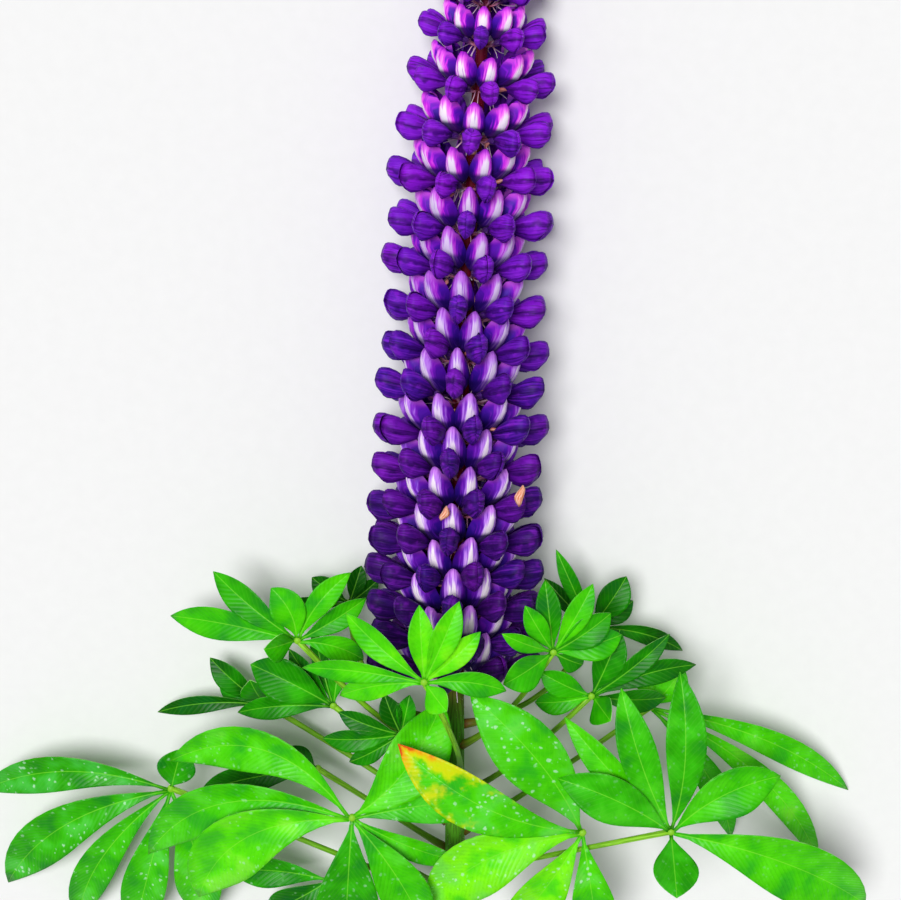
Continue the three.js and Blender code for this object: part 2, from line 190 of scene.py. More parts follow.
def kept_pattern(work: bmesh.types.BMesh, name: str) -> Mesh:
    """Keeps a working mesh as a pattern with its faces outwards.

    Args:
        work: The working mesh, which is used up.
        name: The pattern's name.

    Returns:
        The pattern.
    """
    bmesh.ops.recalc_face_normals(work, faces=work.faces)
    for face in work.faces:
        face.smooth = True
    pattern = bpy.data.meshes.new(name)
    work.to_mesh(pattern)
    work.free()
    return pattern


def sheet_pattern(across: int, along: int) -> Mesh:
    """A closed slab from -1 to 1 in X and Y, from 0 down to -1 in Z.

    Args:
        across: Cells in X.
        along: Cells in Y.

    Returns:
        A pattern whose upper, lower and rim faces carry the numbers of Side.
    """
    work = bmesh.new()
    bmesh.ops.create_grid(work, x_segments=across, y_segments=along, size=1.0)
    made = bmesh.ops.extrude_face_region(work, geom=list(work.faces), use_keep_orig=True)["geom"]
    lower = [item for item in made if isinstance(item, bmesh.types.BMVert)]
    bmesh.ops.translate(work, verts=lower, vec=(0.0, 0.0, -1.0))
    for face in work.faces:
        heights = {round(vert.co.z) for vert in face.verts}
        sides = {frozenset({0}): Side.UPPER, frozenset({-1}): Side.LOWER}
        face.material_index = sides.get(frozenset(heights), Side.RIM).value
    return kept_pattern(work, f"sheet_{across}_{along}")


def rod_pattern(sides: int, levels: int) -> Mesh:
    """A closed rod of radius 1 about Z, from 0 to 1.

    Args:
        sides: Sides round the rod.
        levels: Cells along it.

    Returns:
        The pattern.
    """
    work = bmesh.new()
    bmesh.ops.create_cone(work, cap_ends=True, segments=sides, radius1=1.0, radius2=1.0, depth=1.0)
    bmesh.ops.translate(work, verts=work.verts, vec=(0.0, 0.0, 0.5))
    upright = [edge for edge in work.edges if abs(edge.verts[0].co.z - edge.verts[1].co.z) > 0.5]
    if levels > 1:
        bmesh.ops.subdivide_edges(work, edges=upright, cuts=levels - 1)
    return kept_pattern(work, f"rod_{sides}_{levels}")


def ball_pattern(sides: int, levels: int) -> Mesh:
    """A ball of radius 1, with its poles on Z.

    Args:
        sides: Cells round the ball.
        levels: Cells from pole to pole.

    Returns:
        The pattern.
    """
    work = bmesh.new()
    bmesh.ops.create_uvsphere(work, u_segments=sides, v_segments=levels, radius=1.0)
    return kept_pattern(work, f"ball_{sides}_{levels}")


def thorn_pattern() -> Mesh:
    """A three-sided spike about Z, from 0 to 1.

    Returns:
        The pattern of one hair.
    """
    work = bmesh.new()
    bmesh.ops.create_cone(work, cap_ends=True, segments=3, radius1=1.0, radius2=0.0, depth=1.0)
    bmesh.ops.translate(work, verts=work.verts, vec=(0.0, 0.0, 0.5))
    return kept_pattern(work, "thorn")


class Bunch:
    """One piece of the plant: many shapes gathered in a single mesh."""

    def __init__(self, name: str, marks: Sequence[Mark]) -> None:
        """Starts an empty bunch.

        Args:
            name: The piece's name.
            marks: What the mesh remembers at each point.
        """
        self.name = name
        self.work = bmesh.new()
        self.layers = {mark: self.work.verts.layers.float.new(mark.value) for mark in marks}
        self.shapes = 0

    def add(self, pattern: Mesh, place: Place, marks: Marks, finish: int = 0) -> None:
        """Copies a pattern into the bunch and bends it into shape.

        Args:
            pattern: The pattern to copy.
            place: Gives the millimetre place of each point of the pattern.
            marks: Gives what is remembered at each point of the pattern.
            finish: What is added to the material numbers of the pattern's faces.
        """
        first_vert, first_face = len(self.work.verts), len(self.work.faces)
        self.work.from_mesh(pattern)
        self.work.verts.ensure_lookup_table()
        for vert in self.work.verts[first_vert:]:
            at = vert.co.copy()
            vert.co = to_row(place(at))
            for mark, value in marks(at).items():
                vert[self.layers[mark]] = value
        if finish:
            self.work.faces.ensure_lookup_table()
            for face in self.work.faces[first_face:]:
                face.material_index += finish
        self.shapes += 1

    def finished(self, materials: Sequence[Material], replaces: str) -> Object:
        """Turns the bunch into an object that rides on the part.

        Args:
            materials: The materials, in the order of the faces' numbers.
            replaces: The CAD node that the piece stands for.

        Returns:
            The finished object.
        """
        bmesh.ops.recalc_face_normals(self.work, faces=self.work.faces)
        mesh = bpy.data.meshes.new(self.name)
        self.work.to_mesh(mesh)
        self.work.free()
        for material in materials:
            mesh.materials.append(material)
        piece = bpy.data.objects.new(self.name, mesh)
        bpy.context.scene.collection.objects.link(piece)
        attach(piece, "root")
        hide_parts(replaces)
        LOG.info("%s: %d shapes, %d faces", self.name, self.shapes, len(mesh.polygons))
        return piece


# ----------------------------------------------------------------------------------------------
# Finishes
# ----------------------------------------------------------------------------------------------


def add_node(
    tree: NodeTree,
    kind: str,
    settings: NodeSettings | None = None,
    links: NodeLinks | None = None,
    stops: Stops = (),
) -> Node:
    """Adds one node with its settings and links.

    Args:
        tree: The material's node tree.
        kind: The node's type, without its ShaderNode prefix.
        settings: Values of the node's own properties, or else of its input sockets.
        links: The output socket that feeds each input socket.
        stops: Places and colours, for a colour ramp.

    Returns:
        The new node.
    """
    node = tree.nodes.new("ShaderNode" + kind)
    for key, value in (settings or {}).items():
        if isinstance(key, str) and key.islower():
            setattr(node, key, value)
        else:
            node.inputs[key].default_value = value
    for key, source in (links or {}).items():
        tree.links.new(source, node.inputs[key])
    for place, (position, code) in enumerate(stops):
        elements = node.color_ramp.elements
        stop = elements[place] if place < len(elements) else elements.new(position)
        stop.position = position
        stop.color = linear(code)
    return node


class Drawn(str, Enum):
    """A pattern that a finish draws for itself."""

    VEINS = "veins"
    PALE = "pale"
    OLD = "old"
    CREASE = "crease"
    GRAIN = "grain"
    CLOUDS = "clouds"
    SHADE = "shade"
    MIDRIB = "midrib"
    SIDE_VEINS = "side_veins"
    SPOTS = "spots"
    DUSTED = "dusted"
    WARMTH = "warmth"


Pattern = Mark | Drawn
Sheet = dict[Pattern, NodeSocket]
Ground = tuple[Pattern, Stops]

ADD: NodeSettings = {"operation": "ADD"}
SUBTRACT: NodeSettings = {"operation": "SUBTRACT"}
MULTIPLY: NodeSettings = {"operation": "MULTIPLY"}
ABSOLUTE: NodeSettings = {"operation": "ABSOLUTE"}
# The lowest and highest value that noise really reaches, for the first sockets of a range.
NOISE_REACH: NodeSettings = {1: 0.3, 2: 0.7}


@dataclass(frozen=True)
class Coat:
    """A colour laid over the one under it where a pattern climbs from one value to another.

    Where `within` names a second pattern, that one thins the cover.
    """

    pattern: Pattern
    start: float
    full: float
    cover: float
    colour: str
    within: Pattern | None = None


@dataclass(frozen=True)
class Finish:
    """A finish of the plant: what the real surface is, and how it takes the light."""

    name: str
    roughness: float = 0.5
    roughness_swing: float = 0.06
    specular: float = 0.3
    sheen: float = 0.0
    sheen_colour: str = "#ffffff"
    sheen_roughness: float = 0.4
    marks: tuple[Mark, ...] = (Mark.TONE, Mark.SHARE, Mark.LENGTHWISE, Mark.CROSSWISE)
    vein_spacing: float = 0.7
    vein_stretch: float = 14.0
    # How far one petal's veins are moved on from the next one's.
    vein_shift: float = 17.0
    grain_size: float = 1.0
    ground: Ground = (Drawn.VEINS, ())
    coats: tuple[Coat, ...] = ()
    relief: Pattern = Drawn.VEINS
    relief_depth: float = 0.2
    relief_strength: float = 0.6

    def remembered(self, tree: NodeTree) -> Sheet:
        """The patterns that the mesh remembers, each read as a number."""
        return {
            mark: add_node(tree, "Attribute", {"attribute_name": mark.value}).outputs["Fac"]
            for mark in self.marks
        }

    def patterns(self, tree: NodeTree) -> Sheet:
        """The patterns that the finish is drawn with: here veins, quick across and slow along.

        Args:
            tree: The material's node tree.

        Returns:
            Each pattern's socket.
        """
        sheet = self.remembered(tree)
        per_mm = 1.0 / self.vein_spacing
        scales = (
            (Mark.LENGTHWISE, per_mm / self.vein_stretch),
            (Mark.CROSSWISE, per_mm),
            (Mark.TONE, self.vein_shift),
        )
        parts: NodeLinks = {
            place: add_node(tree, "Math", MULTIPLY | {1: scale}, {0: sheet[mark]}).outputs[0]
            for place, (mark, scale) in enumerate(scales)
        }
        spread = add_node(tree, "CombineXYZ", {}, parts).outputs[0]
        settings = {"Scale": 1.0, "Detail": 2.0, "Roughness": 0.6}
        sheet[Drawn.VEINS] = add_node(tree, "TexNoise", settings, {"Vector": spread}).outputs["Fac"]
        return sheet

    def material(self) -> Material:
        """Makes the material: its ground, its coats in order, and its relief.

        Returns:
            The finished material.
        """
        material = bpy.data.materials.new(self.name)
        material.use_nodes = True
        tree = material.node_tree
        shader = tree.nodes["Principled BSDF"]
        shader.inputs["Specular IOR Level"].default_value = self.specular
        shader.inputs["Sheen Weight"].default_value = self.sheen
        shader.inputs["Sheen Tint"].default_value = linear(self.sheen_colour)
        shader.inputs["Sheen Roughness"].default_value = self.sheen_roughness
        sheet = self.patterns(tree)
        pattern, stops = self.ground
        body = add_node(tree, "ValToRGB", {}, {0: sheet[pattern]}, stops).outputs[0]
        for coat in self.coats:
            held = {"interpolation_type": "SMOOTHSTEP", 1: coat.start, 2: coat.full, 4: coat.cover}
            cover = add_node(tree, "MapRange", held, {0: sheet[coat.pattern]}).outputs[0]
            if coat.within:
                thinned = {0: cover, 1: sheet[coat.within]}
                cover = add_node(tree, "Math", MULTIPLY, thinned).outputs[0]
            colour = {"data_type": "RGBA", 7: linear(coat.colour)}
            body = add_node(tree, "Mix", colour, {0: cover, 6: body}).outputs[2]
        tree.links.new(body, shader.inputs["Base Color"])
        low, high = self.roughness - self.roughness_swing, self.roughness + self.roughness_swing
        span = NOISE_REACH | {3: low, 4: high}
        rubbed = add_node(tree, "MapRange", span, {0: sheet[self.relief]})
        tree.links.new(rubbed.outputs[0], shader.inputs["Roughness"])
        depth = {"Strength": self.relief_strength, "Distance": self.relief_depth * MM}
        bump = add_node(tree, "Bump", depth, {"Height": sheet[self.relief]})
        tree.links.new(bump.outputs["Normal"], shader.inputs["Normal"])
        return material


@dataclass(frozen=True)
class GrainyFinish(Finish):
    """A finish whose pattern is a fine even grain in the surface itself."""

    marks: tuple[Mark, ...] = ()
    ground: Ground = (Drawn.GRAIN, ())
    relief: Pattern = Drawn.GRAIN

    def patterns(self, tree: NodeTree) -> Sheet:
        """What the mesh remembers, and the grain.

        Args:
            tree: The material's node tree.

        Returns:
            Each pattern's socket.
        """
        sheet = self.remembered(tree)
        where = add_node(tree, "TexCoord").outputs["Object"]
        settings = {"Scale": 1.0 / (self.grain_size * MM), "Detail": 3.0}
        sheet[Drawn.GRAIN] = add_node(tree, "TexNoise", settings, {"Vector": where}).outputs["Fac"]
        return sheet


@dataclass(frozen=True)
class WingPetal(Finish):
    """Living petal of the wings: moist violet tissue with a velvet of tiny domed cells.

    The cells give it deep colour, and fine darker and brighter veins fan along it. Shade is
    painted on its lower half, its lower edge, its neck and its middle crease, and a thin
    highlight is painted along its upper edge.
    """

    name: str = "wing_petal_tissue"
    roughness: float = 0.46
    specular: float = 0.09
    sheen: float = 0.02
    sheen_colour: str = "#a050ff"
    vein_spacing: float = 0.6
    vein_stretch: float = 34.0
    grain_size: float = 4.5
    marks: tuple[Mark, ...] = (
        Mark.AGE, Mark.TONE, Mark.SHARE, Mark.RISE, Mark.LENGTHWISE, Mark.CROSSWISE,
    )
    ground: Ground = (
        Mark.AGE, ((0.0, "#381064"), (0.35, "#541498"), (0.7, "#7418c4"), (1.0, "#8c1adc")),
    )
    coats: tuple[Coat, ...] = (
        Coat(Mark.TONE, -0.1, 1.0, 0.45, "#9c14d8"),
        Coat(Mark.TONE, 0.1, -1.0, 0.55, "#3c14a4"),
        Coat(Drawn.CLOUDS, 0.52, 0.7, 0.4, "#a428ec"),
        Coat(Drawn.CLOUDS, 0.46, 0.3, 0.45, "#28086c"),
        # Painted shade: darker blue-violet over the petal's lower half.
        Coat(Mark.RISE, 0.1, -0.9, 0.35, "#260e78"),
        # Painted shade: dark towards the neck, deep among the florets.
        Coat(Mark.SHARE, 0.6, 0.1, 0.65, "#200448"),
        Coat(Drawn.VEINS, 0.48, 0.36, 0.6, "#1c0440"),
        Coat(Drawn.VEINS, 0.54, 0.68, 0.42, "#a834f8"),
        # Painted shade: a dark line along the crease.
        Coat(Drawn.CREASE, 0.2, 0.02, 0.6, "#180340"),
        Coat(Mark.SHARE, 0.12, 0.0, 0.6, "#a868c0"),
        # Painted shade: near-black along the lower edge.
        Coat(Mark.RISE, -0.8, -1.0, 0.45, "#160338"),
        # Painted highlight: a thin pale line along the upper edge.
        Coat(Mark.RISE, 0.92, 1.0, 0.35, "#b060f0"),
        Coat(Mark.AGE, 0.7, 0.0, 0.4, "#1a0638"),
    )
    relief_depth: float = 0.5
    relief_strength: float = 0.8
    # How far the clouds bend the crease to either side.
    crease_drift: tuple[float, float] = (-0.08, 0.16)

    def patterns(self, tree: NodeTree) -> Sheet:
        """The veins, soft clouds of colour, and the crease along the petal's middle, where shade is
        painted.

        Args:
            tree: The material's node tree.

        Returns:
            Each pattern's socket.
        """
        sheet = Finish.patterns(self, tree)
        where = add_node(tree, "TexCoord").outputs["Object"]
        settings = {"Scale": 1.0 / (self.grain_size * MM), "Detail": 2.0}
        sheet[Drawn.CLOUDS] = add_node(tree, "TexNoise", settings, {"Vector": where}).outputs["Fac"]
        bent = NOISE_REACH | dict(zip((3, 4), self.crease_drift))
        drift = add_node(tree, "MapRange", bent, {0: sheet[Drawn.CLOUDS]}).outputs[0]
        aside = add_node(tree, "Math", SUBTRACT, {0: sheet[Mark.RISE], 1: drift})
        crease = add_node(tree, "Math", ABSOLUTE, {0: aside.outputs[0]})
        sheet[Drawn.CREASE] = crease.outputs[0]
        return sheet


@dataclass(frozen=True)
class BannerPetal(Finish):
    """Living petal of the banner: pale in the middle, pink to magenta round it, violet sides.

    The pigment thins out towards the middle, and older flowers turn bluer and darker. Towards
    its foot the petal is painted near-black as shade low among the florets.
    """

    name: str = "banner_petal_tissue"
    roughness: float = 0.48
    specular: float = 0.09
    sheen: float = 0.02
    sheen_colour: str = "#d0a0ff"
    marks: tuple[Mark, ...] = (
        Mark.AGE, Mark.TONE, Mark.SHARE, Mark.LENGTHWISE, Mark.CROSSWISE,
    )
    ground: Ground = (
        Mark.SHARE,
        (
            # Near-black at the foot is painted shade low among the florets; the magenta crown is
            # the petal's own.
            (0.3, "#16043c"), (0.5, "#300e84"), (0.66, "#4e16b0"), (0.82, "#8018c8"),
            (0.92, "#a81cdc"), (1.0, "#8c14c4"),
        ),
    )
    coats: tuple[Coat, ...] = (
        Coat(Mark.TONE, -0.4, 0.8, 0.45, "#7c14c4"),
        Coat(Drawn.PALE, -0.3, 0.0, 1.0, "#8a18d4"),
        Coat(Drawn.PALE, -0.04, 0.18, 1.0, "#e030ec"),
        Coat(Drawn.PALE, 0.14, 0.4, 1.0, "#ff84ff"),
        Coat(Drawn.PALE, 0.38, 0.66, 1.0, "#fff4ff"),
        Coat(Mark.SHARE, 0.7, 0.9, 0.7, "#f45cf8"),
        Coat(Mark.SHARE, 0.84, 0.98, 0.8, "#b81cdc"),
        # Painted shade: near-black towards the foot.
        Coat(Mark.SHARE, 0.5, 0.38, 0.95, "#220a5c"),
        Coat(Mark.SHARE, 0.98, 0.3, 0.85, "#220c78", Drawn.OLD),
        Coat(Mark.SHARE, 0.5, 1.0, 0.7, "#38108c", Drawn.OLD),
        Coat(Drawn.PALE, -0.06, 0.18, 0.95, "#6c2cc8", Drawn.OLD),
        Coat(Drawn.PALE, 0.12, 0.42, 1.0, "#cc88fc", Drawn.OLD),
        Coat(Drawn.PALE, 0.42, 0.74, 1.0, "#fff2ff", Drawn.OLD),
        Coat(Mark.SHARE, 0.74, 0.95, 0.55, "#e488f8", Drawn.OLD),
        # Painted shade on old banners: near-black towards the foot.
        Coat(Mark.SHARE, 0.48, 0.38, 0.95, "#1c0650", Drawn.OLD),
        Coat(Drawn.VEINS, 0.47, 0.3, 0.4, "#5c1cb0"),
    )
    relief_depth: float = 0.3
    patch_half_width: float = 3.1
    patch_foot: float = 0.54
    patch_height: float = 0.54
    feather: float = 0.5
    # The ages at which a banner is young and is old, as shares of the way up the spike.
    young_and_old: tuple[float, float] = (0.9, 0.3)

    def patterns(self, tree: NodeTree) -> Sheet:
        """The veins, how pale the petal is, and how old.

        Args:
            tree: The material's node tree.

        Returns:
            Each pattern's socket.
        """
        sheet = Finish.patterns(self, tree)
        aside = add_node(tree, "Math", ABSOLUTE, {0: sheet[Mark.CROSSWISE]}).outputs[0]
        wide = {"clamp": False, 2: self.patch_half_width}
        beside = add_node(tree, "MapRange", wide, {0: aside})
        top = {"clamp": False, 1: self.patch_foot, 2: self.patch_foot + self.patch_height}
        above = add_node(tree, "MapRange", top, {0: sheet[Mark.SHARE]})
        parts: NodeLinks = {0: beside.outputs[0], 1: above.outputs[0]}
        place = add_node(tree, "CombineXYZ", {}, parts).outputs[0]
        away = add_node(tree, "VectorMath", {"operation": "LENGTH"}, {0: place}).outputs["Value"]
        half = 0.5 * self.feather
        frayed = NOISE_REACH | {3: 1.0 - half, 4: 1.0 + half}
        frayed_edge = add_node(tree, "MapRange", frayed, {0: sheet[Drawn.VEINS]}).outputs[0]
        pale = add_node(tree, "Math", SUBTRACT, {0: frayed_edge, 1: away})
        sheet[Drawn.PALE] = pale.outputs[0]
        ages = dict(zip((1, 2), self.young_and_old))
        old = add_node(tree, "MapRange", ages, {0: sheet[Mark.AGE]})
        sheet[Drawn.OLD] = old.outputs[0]
        return sheet


@dataclass(frozen=True)
class CalyxSkin(Finish):
    """Skin of the floret stalks and calyces: dusky pink stalks, and purple cups with silver down.

    Close-lying silver hairs scatter the light, so it looks chalky and soft. The cups' dark
    purple is partly their own colour and partly painted shade deep among the florets.
    """

    name: str = "calyx_skin_silky"
    roughness: float = 0.6
    specular: float = 0.12
    sheen: float = 0.08
    sheen_colour: str = "#ffc8e8"
    vein_spacing: float = 0.35
    vein_stretch: float = 9.0
    ground: Ground = (
        Mark.SHARE,
        (
            (0.0, "#a02844"), (0.3, "#e888a8"), (0.5, "#e89cc4"),
            # Dark purple at the cup: partly its own colour, partly painted shade deep among the
            # florets.
            (0.64, "#94408c"), (0.78, "#4c1878"), (1.0, "#380c68"),
        ),
    )
    coats: tuple[Coat, ...] = (
        Coat(Drawn.VEINS, 0.55, 0.75, 0.4, "#ecb8d8"),
        Coat(Drawn.VEINS, 0.45, 0.3, 0.4, "#3c0828"),
    )
    relief_depth: float = 0.15


@dataclass(frozen=True)
class BractSkin(Finish):
    """Dry bracts: shrunk to thin pale pink threads, papery and half clear."""

    name: str = "bract_skin_papery"
    roughness: float = 0.65
    specular: float = 0.2
    vein_spacing: float = 0.4
    ground: Ground = (
        Mark.SHARE, ((0.0, "#e890b8"), (0.3, "#fcc8e8"), (1.0, "#fff0fc")),
    )
    coats: tuple[Coat, ...] = (Coat(Drawn.VEINS, 0.45, 0.3, 0.3, "#c06888"),)
    relief_depth: float = 0.1


@dataclass(frozen=True)
class StemSkin(Finish):
    """Skin of the stem: green below the flowers, dark wine red between them, faintly ribbed."""

    name: str = "stem_skin_ribbed"
    roughness: float = 0.55
    specular: float = 0.1
    ground: Ground = (
        Mark.SHARE,
        (
            (0.0, "#5fae24"), (0.2, "#4f9422"), (0.245, "#5a1c14"), (0.28, "#560016"),
            (0.75, "#6c001e"), (0.93, "#580838"), (1.0, "#6a5a52"),
        ),
    )
    coats: tuple[Coat, ...] = (
        Coat(Drawn.VEINS, 0.56, 0.4, 0.5, "#2a000c"),
        Coat(Drawn.VEINS, 0.66, 0.82, 0.1, "#b02848"),
    )
    relief_depth: float = 0.3


@dataclass(frozen=True)
class CutPith(GrainyFinish):
    """The cut end of the stem: moist pale pith, spongy, inside a greener ring of strands."""

    name: str = "cut_pith_moist"
    roughness: float = 0.6
    marks: tuple[Mark, ...] = (Mark.EDGE,)
    grain_size: float = 0.45
    ground: Ground = (Drawn.GRAIN, ((0.35, "#c6d99a"), (0.65, "#f2f6d8")))
    coats: tuple[Coat, ...] = (Coat(Mark.EDGE, 0.5, 0.85, 0.8, "#6f9c34"),)


@dataclass(frozen=True)
class HairSilk(Finish):
    """Plant hair: a colourless single cell that looks silvery where the light catches it."""

    name: str = "plant_hair_silky"
    roughness: float = 0.35
    marks: tuple[Mark, ...] = (Mark.SHARE,)
    ground: Ground = (Mark.SHARE, ((0.0, "#b86c7c"), (1.0, "#ffe4ea")))
    relief: Pattern = Mark.SHARE
    relief_depth: float = 0.02

    def patterns(self, tree: NodeTree) -> Sheet:
        """Only what the mesh remembers: a hair is too fine for a pattern of its own."""
        return self.remembered(tree)


@dataclass(frozen=True)
class WitheredPetal(Finish):
    """A dried petal: papery, tan and peach, creased along its veins."""

    name: str = "withered_petal_papery"
    roughness: float = 0.75
    specular: float = 0.1
    vein_spacing: float = 0.6
    vein_stretch: float = 5.0
    ground: Ground = (
        Drawn.VEINS, ((0.25, "#d06c48"), (0.45, "#f49c78"), (0.6, "#ffccb0"), (0.8, "#fff0e4")),
    )
    coats: tuple[Coat, ...] = (
        Coat(Mark.TONE, 0.36, 0.62, 0.75, "#b8606c"),
        Coat(Mark.SHARE, 0.25, 0.0, 0.6, "#7c3070"),
    )
    relief_depth: float = 0.4


@dataclass(frozen=True)
class LeafFace(Finish):
    """Upper face of a leaflet: smooth waxy green with a paler midrib and feathered side veins.

    Older leaflets carry a bluish bloom, partly real and partly painted sheen, and dried white
    water marks, and one has a yellow and red tip. Soft patches of lighter and darker green are
    painted light and shade.
    """

    name: str = "leaf_upper_waxy"
    roughness: float = 0.4
    specular: float = 0.14
    marks: tuple[Mark, ...] = (
        Mark.TONE, Mark.SHARE, Mark.EDGE, Mark.LENGTHWISE, Mark.CROSSWISE, Mark.SPECKS, Mark.BLUSH,
    )
    grain_size: float = 1.3
    cloud_size: float = 13.0
    vein_gap: float = 2.6
    vein_slant: float = 1.25
    water_mark_size: float = 2.6
    blotch_size: float = 5.0
    # What noise does to the shade of green, where it paints soft patches of light and shade, to
    # the water marks' edge and to the blush's edge.
    shade_drift: tuple[float, float] = (-0.22, 0.22)
    ragged_edge: tuple[float, float] = (-0.16, 0.16)
    blush_mottle: tuple[float, float] = (-0.3, 0.24)
    midrib_slimming: float = 2.6
    vein_wobble: float = 3.0
    water_mark_swing: float = 0.4
    dusted_clouds: tuple[float, float] = (0.36, 0.54)
    faintest_blush: float = 0.12
    ground: Ground = (
        Drawn.SHADE,
        (
            (0.0, "#0e5c02"), (0.25, "#1c8a02"), (0.55, "#38c002"), (0.85, "#5ae402"),
            (1.0, "#80f410"),
        ),
    )
    coats: tuple[Coat, ...] = (
        Coat(Drawn.GRAIN, 0.5, 0.3, 0.12, "#0c7402"),
        Coat(Mark.EDGE, 0.3, 0.95, 0.16, "#0a6400"),
        Coat(Drawn.SIDE_VEINS, 0.7, 1.0, 0.05, "#8cf03c"),
        Coat(Drawn.MIDRIB, 0.5, 0.12, 0.5, "#8ce83c"),
        # Painted shade: darker bluish-green in soft random patches.
        Coat(Drawn.CLOUDS, 0.46, 0.3, 0.16, "#109044"),
        # A bluish bloom in patches: partly the leaflet's own bloom, partly painted sheen.
        Coat(Drawn.CLOUDS, 0.5, 0.7, 0.35, "#58b874", Mark.SPECKS),
        Coat(Drawn.SPOTS, 0.44, 0.2, 0.8, "#c8f0d0", Drawn.DUSTED),
        Coat(Drawn.WARMTH, 0.14, 0.6, 0.85, "#dce00c"),
        Coat(Drawn.WARMTH, 0.6, 1.0, 0.8, "#f4a010"),
        Coat(Drawn.WARMTH, 0.95, 1.2, 0.9, "#e04418"),
    )
    relief: Pattern = Drawn.SIDE_VEINS
    relief_depth: float = 0.07
    relief_strength: float = 0.5

    def patterns(self, tree: NodeTree) -> Sheet:
        """The leaflet's patterns, from what the mesh remembers and from its place.

        Args:
            tree: The material's node tree.

        Returns:
            Each pattern's socket.
        """
        sheet = self.remembered(tree)
        where = add_node(tree, "TexCoord").outputs["Object"]
        for drawn, size in ((Drawn.CLOUDS, self.cloud_size), (Drawn.GRAIN, self.grain_size)):
            settings = {"Scale": 1.0 / (size * MM), "Detail": 2.0}
            sheet[drawn] = add_node(tree, "TexNoise", settings, {"Vector": where}).outputs["Fac"]
        clouds, grain = {0: sheet[Drawn.CLOUDS]}, {0: sheet[Drawn.GRAIN]}
        blush = {0: sheet[Mark.BLUSH]}

        # Painted light and shade: the clouds make soft lighter and darker patches of green.
        spread = NOISE_REACH | dict(zip((3, 4), self.shade_drift))
        drift = add_node(tree, "MapRange", spread, clouds).outputs[0]
        shade = add_node(tree, "Math", ADD, {0: sheet[Mark.TONE], 1: drift})
        sheet[Drawn.SHADE] = shade.outputs[0]

        aside = add_node(tree, "Math", ABSOLUTE, {0: sheet[Mark.CROSSWISE]}).outputs[0]
        slimmer = {3: 1.0, 4: self.midrib_slimming}
        slimming = add_node(tree, "MapRange", slimmer, {0: sheet[Mark.SHARE]}).outputs[0]
        midrib = add_node(tree, "Math", MULTIPLY, {0: aside, 1: slimming})
        sheet[Drawn.MIDRIB] = midrib.outputs[0]

        slant = add_node(tree, "Math", MULTIPLY | {1: -self.vein_slant}, {0: aside}).outputs[0]
        feather = add_node(tree, "Math", ADD, {0: sheet[Mark.LENGTHWISE], 1: slant}).outputs[0]
        wobble = add_node(tree, "Math", MULTIPLY | {1: self.vein_wobble}, clouds).outputs[0]
        feather = add_node(tree, "Math", ADD, {0: feather, 1: wobble}).outputs[0]
        turns = add_node(tree, "Math", MULTIPLY | {1: math.tau / self.vein_gap}, {0: feather})
        wave = add_node(tree, "Math", {"operation": "SINE"}, {0: turns.outputs[0]})
        sheet[Drawn.SIDE_VEINS] = wave.outputs[0]

        fine = {"Scale": 1.0 / (self.water_mark_size * MM)}
        drops = add_node(tree, "TexVoronoi", fine, {"Vector": where}).outputs
        swing = MULTIPLY | {1: self.water_mark_swing}
        own = add_node(tree, "Math", swing, {0: drops["Color"]}).outputs[0]
        torn = NOISE_REACH | dict(zip((3, 4), self.ragged_edge))
        ragged = add_node(tree, "MapRange", torn, grain).outputs[0]
        own = add_node(tree, "Math", ADD, {0: own, 1: ragged}).outputs[0]
        spots = add_node(tree, "Math", ADD, {0: drops["Distance"], 1: own})
        sheet[Drawn.SPOTS] = spots.outputs[0]

        patches = dict(zip((1, 2), self.dusted_clouds))
        patchy = add_node(tree, "MapRange", patches, clouds).outputs[0]
        dusted = add_node(tree, "Math", MULTIPLY, {0: patchy, 1: sheet[Mark.SPECKS]})
        sheet[Drawn.DUSTED] = dusted.outputs[0]

        coarse = {"Scale": 1.0 / (self.blotch_size * MM), "Detail": 3.0}
        blotches = add_node(tree, "TexNoise", coarse, {"Vector": where}).outputs["Fac"]
        mottled = NOISE_REACH | dict(zip((3, 4), self.blush_mottle))
        mottle = add_node(tree, "MapRange", mottled, {0: blotches}).outputs[0]
        patchy_blush = add_node(tree, "Math", ADD, blush | {1: mottle}).outputs[0]
        onset = add_node(tree, "MapRange", {2: self.faintest_blush}, blush).outputs[0]
        warmth = add_node(tree, "Math", MULTIPLY, {0: patchy_blush, 1: onset})
        sheet[Drawn.WARMTH] = warmth.outputs[0]
        return sheet


@dataclass(frozen=True)
class LeafBack(GrainyFinish):
    """Under face of a leaflet: paler grey-green, matt with lying hairs, with a raised midrib. One
    half is painted lighter and the other darker, as light and shade.
    """

    name: str = "leaf_under_downy"
    roughness: float = 0.62
    specular: float = 0.2
    sheen: float = 0.3
    sheen_colour: str = "#e8ffe8"
    marks: tuple[Mark, ...] = (Mark.CROSSWISE,)
    grain_size: float = 0.7
    ground: Ground = (Drawn.GRAIN, ((0.35, "#3f9a28"), (0.65, "#74b858")))
    coats: tuple[Coat, ...] = (
        # Painted light and shade: one half of the under face lighter, the other darker.
        Coat(Mark.CROSSWISE, -0.9, -0.3, 0.6, "#aedc84"),
        Coat(Mark.CROSSWISE, 0.3, 0.9, 0.6, "#5cac40"),
    )


@dataclass(frozen=True)
class LeafRim(GrainyFinish):
    """Edge of a leaflet: a pale horny line, rusty here and there on old leaflets."""

    name: str = "leaf_rim_horny"
    marks: tuple[Mark, ...] = (Mark.SPECKS,)
    grain_size: float = 3.0
    ground: Ground = (Drawn.GRAIN, ((0.4, "#6cc83c"), (0.6, "#b8f090")))
    coats: tuple[Coat, ...] = (Coat(Drawn.GRAIN, 0.45, 0.6, 0.9, "#8c4a1c", Mark.SPECKS),)
    relief_depth: float = 0.1


